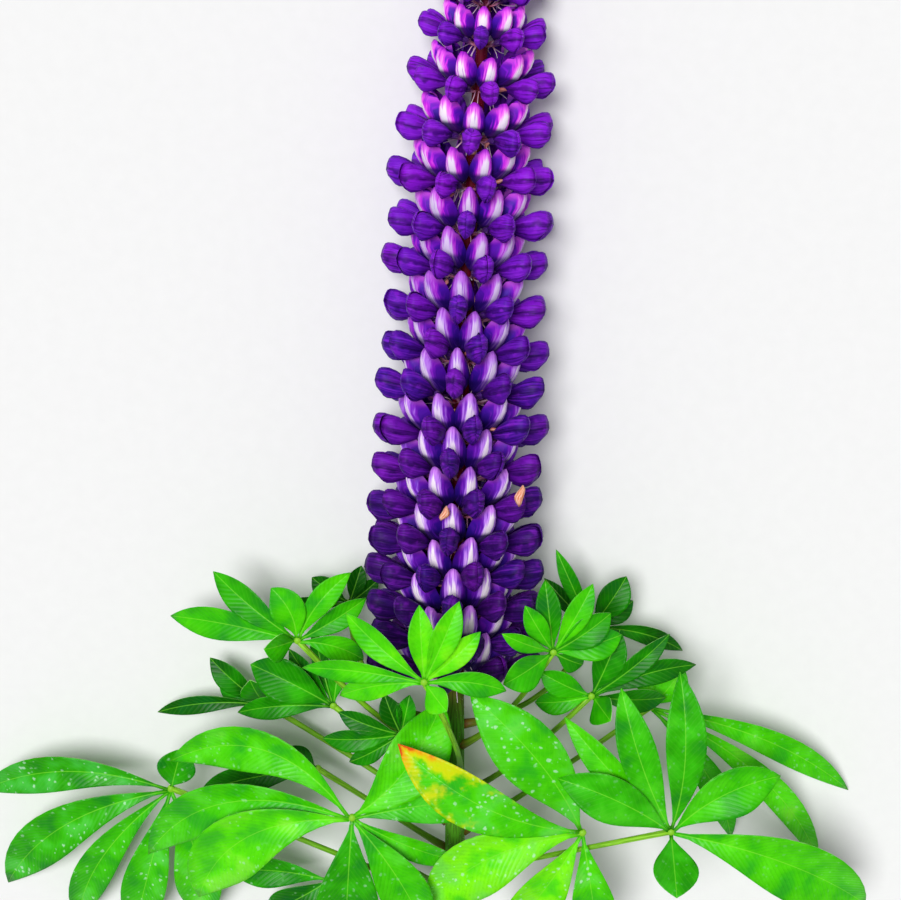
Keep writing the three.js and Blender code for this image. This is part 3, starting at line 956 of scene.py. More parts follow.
@dataclass(frozen=True)
class LeafStalk(Finish):
    """Skin of a leaf's stalk: juicy yellow-green, ribbed, a little red where it meets the stem."""

    name: str = "leaf_stalk_juicy"
    roughness: float = 0.45
    specular: float = 0.25
    vein_spacing: float = 0.6
    vein_stretch: float = 12.0
    ground: Ground = (
        Mark.SHARE, ((0.0, "#7a4420"), (0.1, "#6c8c18"), (0.4, "#6cb010"), (1.0, "#98dc30")),
    )
    coats: tuple[Coat, ...] = (Coat(Drawn.VEINS, 0.58, 0.4, 0.5, "#3c6c0c"),)


@dataclass(frozen=True)
class TableTop(GrainyFinish):
    """Matt white laminate: an even pale surface with the faintest grain."""

    name: str = "matt_white_laminate"
    roughness: float = 0.9
    specular: float = 0.1
    grain_size: float = 6.0
    ground: Ground = (Drawn.GRAIN, ((0.3, "#eeeeee"), (0.7, "#f0f0f0")))
    relief_depth: float = 0.02


# ----------------------------------------------------------------------------------------------
# The stem and the order of the flowers on it
# ----------------------------------------------------------------------------------------------


@dataclass(frozen=True)
class Spine:
    """The line of the stem and rachis, and how thick they are."""

    raceme_length: float = 338.0
    stem_below_raceme: float = 112.0
    height: float = 29.0
    drop_to_tip: float = 12.0
    drop_to_cut: float = 8.0
    bend_to_tip: float = 19.0
    cut_end_radius: float = 4.4
    stem_radius: float = 3.7
    rachis_radius: float = 3.2
    tip_radius: float = 0.9
    slim_length: float = 60.0
    shoulder_start: float = 190.0

    def point(self, along: float) -> Vector:
        """The centre of the stem or rachis.

        Args:
            along: The distance along it from the raceme's base.

        Returns:
            The centre there.
        """
        up = max(along, 0.0) / self.raceme_length
        down = min(along, 0.0) / self.stem_below_raceme
        height = self.height - self.drop_to_tip * up * up - self.drop_to_cut * down * down
        return Vector((self.bend_to_tip * up * up, along, height))

    def directions(self, along: float) -> tuple[Vector, Vector, Vector]:
        """The stem's own directions at a place on it.

        Args:
            along: The distance along it from the raceme's base.

        Returns:
            The directions along the stem, to its side, and to its front, which is up.
        """
        forward = (self.point(along + 0.5) - self.point(along - 0.5)).normalized()
        side = forward.cross(UP).normalized()
        return forward, side, side.cross(forward)

    def radius(self, along: float) -> float:
        """How thick the stem or rachis is.

        Args:
            along: The distance along it from the raceme's base.

        Returns:
            The radius there.
        """
        if along < 0.0:
            return lerp(self.stem_radius, self.cut_end_radius, -along / self.stem_below_raceme)
        slow = lerp(self.stem_radius, self.rachis_radius, min(along / self.slim_length, 1.0))
        left = self.raceme_length - self.shoulder_start
        return lerp(slow, self.tip_radius, max(along - self.shoulder_start, 0.0) / left)


class Chance(int, Enum):
    """What is drawn for one floret, bud or leaflet. A second hand takes the next number."""

    TURN = 1
    RISE = 2
    SIZE = 3
    WING_TONE = 10
    BANNER_TONE = 12
    CALYX_TONE = 13
    BUD_TONE = 14
    BUD_CALYX_TONE = 15
    BUD_BRACT_TONE = 16
    WING_LIFT = 20
    WING_ROLL = 21
    WING_PLEATS = 22
    WING_BULGE = 30
    WING_REACH = 40
    BANNER_NOD = 50
    BANNER_WIDTH = 51
    BANNER_WAVE = 52
    THREAD_LENGTH = 61
    THREAD_TONE = 64
    THREAD_SLOPE = 65
    THREAD_START = 69
    LEAFLET_TWIST = 70
    LEAFLET_WAVE = 71
    LEAFLET_TONE = 72
    THREAD_BOW = 73


@dataclass(frozen=True)
class Floret:
    """One floret's own place on the raceme."""

    whorl: int
    place: int
    along: float
    centre: Vector
    outward: Vector
    across: Vector
    forward: Vector
    rise: float
    size: float
    lean: float
    age: float
    press_start: float = 12.0
    press_depth: float = 8.0

    def put(self, out: float, over: float, up: float) -> Vector:
        """A point of the floret, from its own directions: out, across, and up along the axis.

        Args:
            out: Millimetres out from the axis, on a floret of nominal size.
            over: Millimetres across.
            up: Millimetres towards the tip.

        Returns:
            The point, pressed up where the floret meets the table.
        """
        cosine, sine = math.cos(self.rise), math.sin(self.rise)
        out_turned = self.size * (out * cosine - up * sine)
        up_turned = self.size * (out * sine + up * cosine) - self.lean * max(out_turned, 0.0)
        point = self.centre + self.outward * out_turned
        point += self.across * (self.size * over) + self.forward * up_turned
        if point.z <= self.press_start:
            room = self.press_start + self.press_depth
            point.z = room * math.exp((point.z - self.press_start) / room) - self.press_depth
        return point

    def chance(self, kind: int, hand: int = 0) -> float:
        """A settled draw of the floret's own, between -1 and 1."""
        return draw(self.whorl, self.place, kind + hand)


@dataclass(frozen=True)
class Raceme:
    """The whorls of florets and buds along the spike."""

    spine: Spine
    first_whorl: float = -4.5
    first_step: float = 12.8
    step_growth: float = 0.43
    widest_step_whorl: int = 15
    step_shrink: float = 0.89
    open_whorls: int = 18
    bud_whorls: int = 7
    florets_in_whorl: int = 10
    buds_in_whorl: int = 8
    even_whorl_turn: float = -5.0
    odd_whorl_turn: float = 12.0
    reach_at_base: float = 37.5
    reach_taper: float = 0.022
    shoulder_length: float = 150.0
    shoulder_loss: float = 25.0
    shoulder_power: float = 1.8
    nominal_reach: float = 34.0
    lean_at_base: float = -11.5
    lean_at_tip: float = 13.0
    lean_start: float = 110.0
    lean_end: float = 240.0
    rise_start: float = 228.0
    rise_at_tip: float = 62.0
    rise_power: float = 1.3
    turn_jitter: float = 2.0
    rise_jitter: float = 3.0
    size_jitter: float = 0.04

    def whorl_places(self) -> list[float]:
        """The places of the whorls along the axis.

        Returns:
            The distance of each whorl from the raceme's base.
        """
        places, along, step = [], self.first_whorl, self.first_step
        for whorl in range(self.open_whorls + self.bud_whorls):
            places.append(along)
            early = whorl < self.widest_step_whorl
            step = self.first_step + self.step_growth * whorl if early else step * self.step_shrink
            along += step
        return places

    def reach(self, along: float) -> float:
        """How far florets reach from the axis.

        Args:
            along: The distance along it from the raceme's base.

        Returns:
            The reach there.
        """
        past = max(along - self.spine.shoulder_start, 0.0) / self.shoulder_length
        loss = self.shoulder_loss * past**self.shoulder_power
        return self.reach_at_base - self.reach_taper * along - loss

    def floret(self, whorl: int, place: int, along: float, count: int) -> Floret:
        """The place of one floret.

        Args:
            whorl: The whorl's number from the base.
            place: The floret's number in the whorl.
            along: The whorl's place on the axis.
            count: Florets in the whorl.

        Returns:
            The floret's own place.
        """
        forward, side, front = self.spine.directions(along)
        start = self.odd_whorl_turn if whorl % 2 else self.even_whorl_turn
        turn = start + 360.0 / count * place
        turn = math.radians(turn + self.turn_jitter * draw(whorl, place, Chance.TURN))
        past = max(along - self.rise_start, 0.0) / (self.spine.raceme_length - self.rise_start)
        rise = self.rise_at_tip * past**self.rise_power
        rise += self.rise_jitter * draw(whorl, place, Chance.RISE)
        outward = front * math.cos(turn) + side * math.sin(turn)
        gone = eased((along - self.lean_start) / (self.lean_end - self.lean_start))
        lean = math.tan(math.radians(lerp(self.lean_at_base, self.lean_at_tip, gone)))
        size = self.reach(along) / self.nominal_reach
        size *= 1.0 + self.size_jitter * draw(whorl, place, Chance.SIZE)
        return Floret(
            whorl, place, along, self.spine.point(along), outward, forward.cross(outward), forward,
            math.radians(rise), size, lean * math.cos(turn), max(along, 0.0) / self.rise_start,
        )

    def open_florets(self) -> list[Floret]:
        """The open florets, from the base up."""
        return [
            self.floret(whorl, place, along, self.florets_in_whorl)
            for whorl, along in enumerate(self.whorl_places()[: self.open_whorls])
            for place in range(self.florets_in_whorl)
        ]

    def closed_buds(self) -> list[Floret]:
        """The buds at the tip of the spike."""
        return [
            self.floret(whorl, place, along, self.buds_in_whorl)
            for whorl, along in enumerate(self.whorl_places())
            if whorl >= self.open_whorls
            for place in range(self.buds_in_whorl)
        ]


# ----------------------------------------------------------------------------------------------
# Sub-assemblies of the spike
# ----------------------------------------------------------------------------------------------

PETAL_MARKS = (Mark.AGE, Mark.TONE, Mark.SHARE, Mark.RISE, Mark.LENGTHWISE, Mark.CROSSWISE)
STALK_MARKS = (Mark.SHARE, Mark.TONE, Mark.LENGTHWISE, Mark.CROSSWISE)
SPIKE_NODE = "flower_spike"


@dataclass
class StemAndRachis:
    """The stem with its square cut, and the wine-red rachis that carries the flowers."""

    spine: Spine
    sides: int = 20
    levels: int = 90
    rib_depth: float = 0.12
    ribs: int = 10
    # Each step of the cut end: how far in it lies, and how far it sinks.
    cut_steps: tuple[tuple[float, float], ...] = ((0.35, 0.0), (0.9, 0.25), (1.4, 0.1))
    pith_edge: float = 0.3
    hair_count: int = 1300
    hair_seed: int = 11
    hair_span: tuple[float, float] = (0.01, 0.97)
    hair_slope: tuple[float, float] = (-0.2, 0.7)
    hair_length: tuple[float, float] = (0.6, 1.4)
    hair_radius: float = 0.04
    hair_sink: float = 0.1

    def along(self, level: float) -> float:
        """The distance along the axis for a level of the rod, from 0 to 1."""
        return lerp(-self.spine.stem_below_raceme, self.spine.raceme_length, level)

    def place(self, at: Vector) -> Vector:
        """Bends the rod along the axis.

        Args:
            at: A point of the rod.

        Returns:
            Its place on the stem.
        """
        along = self.along(at.z)
        _, side, front = self.spine.directions(along)
        turn = math.atan2(at.y, at.x)
        across = math.hypot(at.x, at.y)
        radius = (self.spine.radius(along) + self.rib_depth * math.cos(self.ribs * turn)) * across
        raised, aside = radius * math.cos(turn), radius * math.sin(turn)
        return self.spine.point(along) + front * raised + side * aside

    def marks(self, at: Vector) -> dict[Mark, float]:
        """What the skin remembers at a point of the rod."""
        return {
            Mark.SHARE: at.z,
            Mark.LENGTHWISE: self.along(at.z),
            Mark.CROSSWISE: self.spine.stem_radius * abs(math.atan2(at.y, at.x)),
            Mark.EDGE: math.hypot(at.x, at.y),
        }

    def build(self, skin: Material, pith: Material) -> Object:
        """Builds the stem and rachis, with the steps of the cut end.

        Args:
            skin: The stem's skin.
            pith: The cut end.

        Returns:
            The piece, which stands for the CAD node of the spike.
        """
        remembered = (Mark.SHARE, Mark.LENGTHWISE, Mark.CROSSWISE, Mark.EDGE, Mark.TONE)
        bunch = Bunch("stem_and_rachis", remembered)
        bunch.add(rod_pattern(self.sides, self.levels), self.place, self.marks)
        bunch.work.faces.ensure_lookup_table()
        cut = min(bunch.work.faces, key=lambda face: face.calc_center_median().y)
        for inset, sink in self.cut_steps:
            bmesh.ops.inset_region(bunch.work, faces=[cut], thickness=inset * MM, depth=-sink * MM)
            cut.material_index = 1
        for vert in cut.verts:
            vert[bunch.layers[Mark.EDGE]] = self.pith_edge
        return bunch.finished([skin, pith], SPIKE_NODE)

    def build_hairs(self, silk: Material) -> Object:
        """Builds the fine hairs on the stem and rachis.

        Args:
            silk: The hairs' finish.

        Returns:
            The hairs, which stand for the CAD node of the spike.
        """
        chances = random.Random(self.hair_seed)
        bunch = Bunch("stem_hairs", (Mark.SHARE,))
        thorn = thorn_pattern()
        for _ in range(self.hair_count):
            along = self.along(chances.uniform(*self.hair_span))
            forward, side, front = self.spine.directions(along)
            turn = chances.uniform(0.0, math.tau)
            outward = front * math.cos(turn) + side * math.sin(turn)
            root = self.spine.point(along) + outward * (self.spine.radius(along) - self.hair_sink)
            heading = (outward + forward * chances.uniform(*self.hair_slope)).normalized()
            length = chances.uniform(*self.hair_length)
            place = partial(self.hair_place, root, heading, length)
            bunch.add(thorn, place, lambda at: {Mark.SHARE: at.z})
        return bunch.finished([silk], SPIKE_NODE)

    def hair_place(self, root: Vector, heading: Vector, length: float, at: Vector) -> Vector:
        """Stands one hair on the skin.

        Args:
            root: Where it grows.
            heading: The way it points.
            length: Its length.
            at: A point of the thorn pattern.

        Returns:
            Its place on the hair.
        """
        aside = heading.orthogonal().normalized()
        other = heading.cross(aside)
        girth = aside * (at.x * self.hair_radius) + other * (at.y * self.hair_radius)
        return root + girth + heading * (at.z * length)


@dataclass(frozen=True)
class Shape:
    """One shape of a floret: the pattern that it is bent from, and how it is placed and marked.

    `finish` is added to the material numbers of the pattern's faces.
    """

    pattern: Mesh
    place: Callable[[Floret, int, Vector], Vector]
    marks: Callable[[Floret, int, Vector], dict[Mark, float]]
    finish: int = 0


@dataclass(kw_only=True)
class FloretPiece:
    """A piece of the plant with the same shapes in every floret, once or on each hand."""

    name: str
    remembered: tuple[Mark, ...] = PETAL_MARKS
    hands: tuple[int, ...] = (0,)

    def shapes(self) -> tuple[Shape, ...]:
        """The shapes of one floret."""
        raise NotImplementedError

    def build(self, florets: Sequence[Floret], materials: Sequence[Material]) -> Object:
        """Builds the piece.

        Args:
            florets: The florets or buds that carry it.
            materials: The materials, in the order of the faces' numbers.

        Returns:
            The piece, which stands for the CAD node of the spike.
        """
        bunch = Bunch(self.name, self.remembered)
        shapes = self.shapes()
        for floret in florets:
            for hand in self.hands:
                for shape in shapes:
                    place = partial(shape.place, floret, hand)
                    marks = partial(shape.marks, floret, hand)
                    bunch.add(shape.pattern, place, marks, shape.finish)
        return bunch.finished(materials, SPIKE_NODE)


@dataclass(frozen=True)
class WingHalf:
    """The half of a wing petal above or below its middle line.

    `corner` is how far the nose draws back at the edge; `sharp` and `blunt` are the powers that
    give the cup its curve.
    """

    corner: float
    sharp: float
    blunt: float


@dataclass(kw_only=True)
class Wings(FloretPiece):
    """The two cupped wing petals of every open floret, which close into a pouch."""

    name: str = "wing_petals"
    hands: tuple[int, ...] = (-1, 1)
    cells: tuple[int, int] = (6, 6)
    crowding: float = 1.5
    start: tuple[float, float] = (12.2, 3.0)
    nose: tuple[float, float] = (33.2, 6.0)
    lower: WingHalf = WingHalf(3.2, 1.7, 0.85)
    upper: WingHalf = WingHalf(1.3, 4.0, 0.6)
    corner_power: int = 5
    neck_half_height: float = 0.9
    body_half_height: float = 5.7
    swell_start: float = 0.06
    swell_length: float = 0.72
    end_start: float = 0.84
    end_length: float = 0.16
    end_loss: float = 0.2
    bulge: float = 4.1
    bulge_swing: float = 0.1
    neck_bulge: float = 0.05
    pouch_start: float = 0.04
    pouch_length: float = 0.5
    nose_power: int = 6
    nose_round: float = 0.55
    pleat: float = 0.3
    pleats: float = 7.0
    pleat_drift: float = 3.0
    fold: float = 0.75
    fold_half_height: float = 0.32
    fold_run: float = 1.15
    gap: float = 0.03
    least_over: float = 0.01
    thickness: float = 0.28
    inner_shift: float = 0.3
    lift_swing: float = 0.5
    reach_swing: float = 0.5
    roll: float = 9.0
    blade_length: float = 21.0
    fan_start: float = 0.42
    fan_growth: float = 0.3
    shared_tone: float = 0.7
    own_tone: float = 0.3

    def shapes(self) -> tuple[Shape, ...]:
        """One petal."""
        return (Shape(sheet_pattern(*self.cells), self.place, self.marks),)

    def half_height(self, share: float) -> float:
        """Half the petal's height at a share of its length.

        Args:
            share: The share, from the neck to the nose.

        Returns:
            The half height.
        """
        swell = eased((share - self.swell_start) / self.swell_length)
        past = max((share - self.end_start) / self.end_length, 0.0)
        end = 1.0 - self.end_loss * past**2.0
        return lerp(self.neck_half_height, self.body_half_height, swell) * end

    def over(self, floret: Floret, hand: int, share: float, level: float) -> float:
        """How far the petal stands aside of the floret's middle plane.

        Args:
            floret: The floret.
            hand: 1 for the right-hand petal and -1 for the left-hand one.
            share: A share of the petal's length.
            level: A level of its height, from -1 to 1.

        Returns:
            The distance of the petal's outer face from the plane.
        """
        half = self.lower if level < 0.0 else self.upper
        spread = eased((share - self.pouch_start) / self.pouch_length)
        spread *= max(1.0 - share**self.nose_power, 0.0) ** self.nose_round
        cup = spread * max(1.0 - abs(level) ** half.sharp, 0.0) ** half.blunt
        drift = self.pleat_drift * floret.chance(Chance.WING_PLEATS)
        pleats = self.pleat * share * math.cos(self.pleats * level + drift) * (1.0 - level**2)
        fullness = 1.0 + self.bulge_swing * floret.chance(Chance.WING_BULGE, hand)
        over = self.bulge * fullness * (self.neck_bulge * (1.0 - share) + cup) + pleats * cup
        run = math.sin(math.pi * min(self.fold_run * share, 1.0))
        return over - self.fold * math.exp(-((level / self.fold_half_height) ** 2)) * run

    def place(self, floret: Floret, hand: int, at: Vector) -> Vector:
        """Cups the sheet into a petal.

        Args:
            floret: The floret.
            hand: 1 for the right-hand petal and -1 for the left-hand one.
            at: A point of the sheet.

        Returns:
            Its place on the petal.
        """
        level = math.sin(0.5 * math.pi * at.x)
        share = 1.0 - (1.0 - 0.5 * (at.y + 1.0)) ** self.crowding
        corner = (self.lower if level < 0.0 else self.upper).corner
        inward = self.thickness * at.z
        over = self.over(floret, hand, share, level) + inward + self.gap
        over = hand * max(over, self.least_over)
        lift = self.lift_swing * floret.chance(Chance.WING_LIFT, hand)
        rise = self.half_height(share) * level + lift * share * abs(level)
        turn = math.radians(self.roll * floret.chance(Chance.WING_ROLL)) * share
        cosine, sine = math.cos(turn), math.sin(turn)
        over, rise = over * cosine - rise * sine, rise * cosine + over * sine
        out = lerp(self.start[0], self.nose[0], share)
        out -= corner * level * level * share**self.corner_power
        out += share * self.reach_swing * floret.chance(Chance.WING_REACH, hand)
        out += self.inner_shift * inward * share
        return floret.put(out, over, lerp(self.start[1], self.nose[1], share) + rise)

    def marks(self, floret: Floret, hand: int, at: Vector) -> dict[Mark, float]:
        """What the petal remembers.

        Args:
            floret: The floret.
            hand: 1 for the right-hand petal and -1 for the left-hand one.
            at: A point of the sheet.

        Returns:
            The value of each mark.
        """
        share = 0.5 * (at.y + 1.0)
        tone = self.shared_tone * floret.chance(Chance.WING_TONE)
        return {
            Mark.AGE: floret.age,
            Mark.TONE: tone + self.own_tone * floret.chance(Chance.WING_TONE, hand),
            Mark.SHARE: share,
            Mark.RISE: at.x,
            Mark.LENGTHWISE: share * self.blade_length,
            Mark.CROSSWISE: at.x * self.half_height(self.fan_start + self.fan_growth * share),
        }


@dataclass(kw_only=True)
class Banners(FloretPiece):
    """The banner petal of every open floret: it stands up, with its sides folded back."""

    name: str = "banner_petals"
    cells: tuple[int, int] = (6, 6)
    crowding: float = 1.25
    thickness: float = 0.28
    blade_length: float = 19.0
    claw_half_width: float = 1.2
    half_width: float = 4.7
    crown_half_width: float = 2.4
    flare_length: float = 0.4
    narrowing_start: float = 0.5
    narrowing_length: float = 0.55
    rounding: float = 0.12
    rounding_loss: float = 0.6
    # The lines of the petal's middle and of its folded sides: out, across and up.
    middle: tuple[tuple[float, float, float], ...] = (
        (12.8, 0.0, 4.2), (19.6, 0.0, 4.8), (26.4, 0.0, 14.8), (21.8, 0.0, 19.8),
    )
    side: tuple[tuple[float, float, float], ...] = (
        (12.4, 0.0, 3.5), (12.6, 0.0, 4.6), (12.4, 0.0, 13.8), (18.8, 0.0, 18.4),
    )
    crease_depth: float = 0.45
    crease_half_width: float = 0.2
    fold_power: float = 1.9
    drop_power: float = 1.5
    edge_power: float = 0.9
    nod: float = 0.9
    sway: float = 0.5
    wave: float = 0.35
    waves: float = 6.0
    wave_drift: float = 3.0
    width_swing: float = 0.08
    # The rise that the banner's back reads in the wing tissue: it takes part of that tissue's
    # painted shade on the lower half.
    back_rise: float = -0.3

    def shapes(self) -> tuple[Shape, ...]:
        """One petal."""
        return (Shape(sheet_pattern(*self.cells), self.place, self.marks),)

    def share(self, level: float) -> float:
        """A share of the petal's length for a level of the sheet, closer together at the crown."""
        return 1.0 - (1.0 - 0.5 * (level + 1.0)) ** self.crowding

    def half(self, share: float) -> float:
        """Half the petal's width: it tapers to a blunt crown.

        Args:
            share: A share of the petal's length.

        Returns:
            The half width.
        """
        body = lerp(self.claw_half_width, self.half_width, eased(share / self.flare_length))
        narrowed = eased((share - self.narrowing_start) / self.narrowing_length)
        body = lerp(body, self.crown_half_width, narrowed)
        past = max((share - 1.0 + self.rounding) / self.rounding, 0.0)
        return body * math.sqrt(1.0 - self.rounding_loss * min(past, 1.0) ** 2)

    def place(self, floret: Floret, _: int, at: Vector) -> Vector:
        """Folds the sheet into the petal.

        Args:
            floret: The floret.
            _: The hand, which a banner doesn't have.
            at: A point of the sheet.

        Returns:
            Its place on the petal.
        """
        share, reach = self.share(at.y), abs(at.x)
        middle = bezier([Vector(p) for p in self.middle], share)
        side = bezier([Vector(p) for p in self.side], share)
        crease = self.crease_depth * math.exp(-((reach / self.crease_half_width) ** 2))
        out = lerp(middle.x, side.x, reach**self.fold_power) - crease * math.sin(math.pi * share)
        wide = self.half(share) * math.sin(0.5 * math.pi * reach) ** self.edge_power
        over = math.copysign(wide, at.x)
        nod = self.nod * floret.chance(Chance.BANNER_NOD) * share
        drift = self.wave_drift * floret.chance(Chance.BANNER_WAVE)
        out += self.wave * share * math.sin(self.waves * at.x + drift) + nod
        over *= 1.0 + self.width_swing * floret.chance(Chance.BANNER_WIDTH)
        over += self.sway * nod
        up = lerp(middle.z, side.z, reach**self.drop_power)
        return floret.put(out + self.thickness * at.z, over, up)

    def marks(self, floret: Floret, _: int, at: Vector) -> dict[Mark, float]:
        """What the petal remembers.

        Args:
            floret: The floret.
            _: The hand, which a banner doesn't have.
            at: A point of the sheet.

        Returns:
            The value of each mark.
        """
        share = self.share(at.y)
        return {
            Mark.AGE: floret.age,
            Mark.TONE: floret.chance(Chance.BANNER_TONE),
            Mark.SHARE: share,
            Mark.RISE: self.back_rise,
            Mark.LENGTHWISE: share * self.blade_length,
            Mark.CROSSWISE: self.half(share) * math.sin(0.5 * math.pi * at.x),
        }


@dataclass(kw_only=True)
class Calyces(FloretPiece):
    """The stalk and two-lipped calyx under every open floret."""

    name: str = "floret_stalks"
    remembered: tuple[Mark, ...] = STALK_MARKS
    spine: Spine
    cells: tuple[int, int] = (6, 5)
    # Along the stalk: the share of its length, its radius there, and its height.
    rings: tuple[tuple[float, float, float], ...] = (
        (0.0, 0.6, 0.2), (0.5, 0.42, 0.9), (0.64, 0.9, 2.2), (0.82, 1.7, 3.2), (1.0, 1.4, 3.5),
    )
    reach: float = 15.4
    root_sink: float = 0.6
    lip: float = 1.2
    lip_power: int = 4
    girth: float = 1.6

    def shapes(self) -> tuple[Shape, ...]:
        """One stalk with its calyx."""
        return (Shape(rod_pattern(*self.cells), self.place, self.marks),)

    def profile(self, share: float) -> tuple[float, float]:
        """The stalk's radius and height.

        Args:
            share: A share of its length.

        Returns:
            The radius and the height.
        """
        for (near, slim, low), (far, stout, high) in zip(self.rings, self.rings[1:]):
            if share <= far:
                part = (share - near) / (far - near)
                return lerp(slim, stout, part), lerp(low, high, part)
        return self.rings[-1][1:]

    def place(self, floret: Floret, _: int, at: Vector) -> Vector:
        """Lays the stalk out from the rachis.

        Args:
            floret: The floret.
            _: The hand, which a stalk doesn't have.
            at: A point of the rod.

        Returns:
            Its place on the stalk.
        """
        foot = (self.spine.radius(floret.along) - self.root_sink) / floret.size
        radius, height = self.profile(at.z)
        lip = self.lip * at.y * at.z**self.lip_power
        out = lerp(foot, self.reach, at.z) + abs(lip)
        return floret.put(out, radius * at.x, height + radius * at.y)

    def marks(self, floret: Floret, _: int, at: Vector) -> dict[Mark, float]:
        """What the skin remembers at a point of the rod."""
        return {
            Mark.SHARE: at.z,
            Mark.TONE: floret.chance(Chance.CALYX_TONE),
            Mark.LENGTHWISE: at.z * self.reach,
            Mark.CROSSWISE: math.atan2(at.y, at.x) * self.girth,
        }


@dataclass(kw_only=True)
class BractThreads(FloretPiece):
    """The dry threads that are left of the bracts, which hang or stand beside the stalks."""

    name: str = "bract_threads"
    remembered: tuple[Mark, ...] = STALK_MARKS
    hands: tuple[int, ...] = (-1, 1)
    spine: Spine
    cells: tuple[int, int] = (3, 3)
    length: tuple[float, float] = (6.0, 12.0)
    slope: tuple[float, float] = (-1.5, 0.8)
    radius: float = 0.32
    tip_loss: float = 0.5
    start: float = 2.4
    start_swing: float = 1.2
    bow: float = 0.8
    height: float = 0.8
    aside: float = 0.9
    spread: float = 0.12

    def shapes(self) -> tuple[Shape, ...]:
        """One thread."""
        return (Shape(rod_pattern(*self.cells), self.place, self.marks),)

    def own_length(self, floret: Floret, hand: int) -> float:
        """The length of one thread."""
        return lerp(*self.length, 0.5 * (floret.chance(Chance.THREAD_LENGTH, hand) + 1.0))

    def place(self, floret: Floret, hand: int, at: Vector) -> Vector:
        """Lays the thread beside the stalk.

        Args:
            floret: The floret.
            hand: The side of the stalk, 1 or -1.
            at: A point of the rod.

        Returns:
            Its place on the thread.
        """
        angle = lerp(*self.slope, 0.5 * (floret.chance(Chance.THREAD_SLOPE, hand) + 1.0))
        start = self.spine.radius(floret.along) / floret.size + self.start
        start += self.start_swing * floret.chance(Chance.THREAD_START, hand)
        slim = self.radius * (1.0 - self.tip_loss * at.z)
        run = self.own_length(floret, hand) * at.z
        bow = self.bow * math.sin(math.pi * at.z) * floret.chance(Chance.THREAD_BOW, hand)
        out = start + run * math.cos(angle) - (slim * at.x + bow) * math.sin(angle)
        up = self.height + run * math.sin(angle) + (slim * at.x + bow) * math.cos(angle)
        return floret.put(out, hand * (self.aside + self.spread * run) + slim * at.y, up)

    def marks(self, floret: Floret, hand: int, at: Vector) -> dict[Mark, float]:
        """What the thread remembers at a point of the rod."""
        return {
            Mark.SHARE: at.z,
            Mark.TONE: floret.chance(Chance.THREAD_TONE),
            Mark.LENGTHWISE: at.z * self.own_length(floret, hand),
            Mark.CROSSWISE: at.y * self.radius,
        }


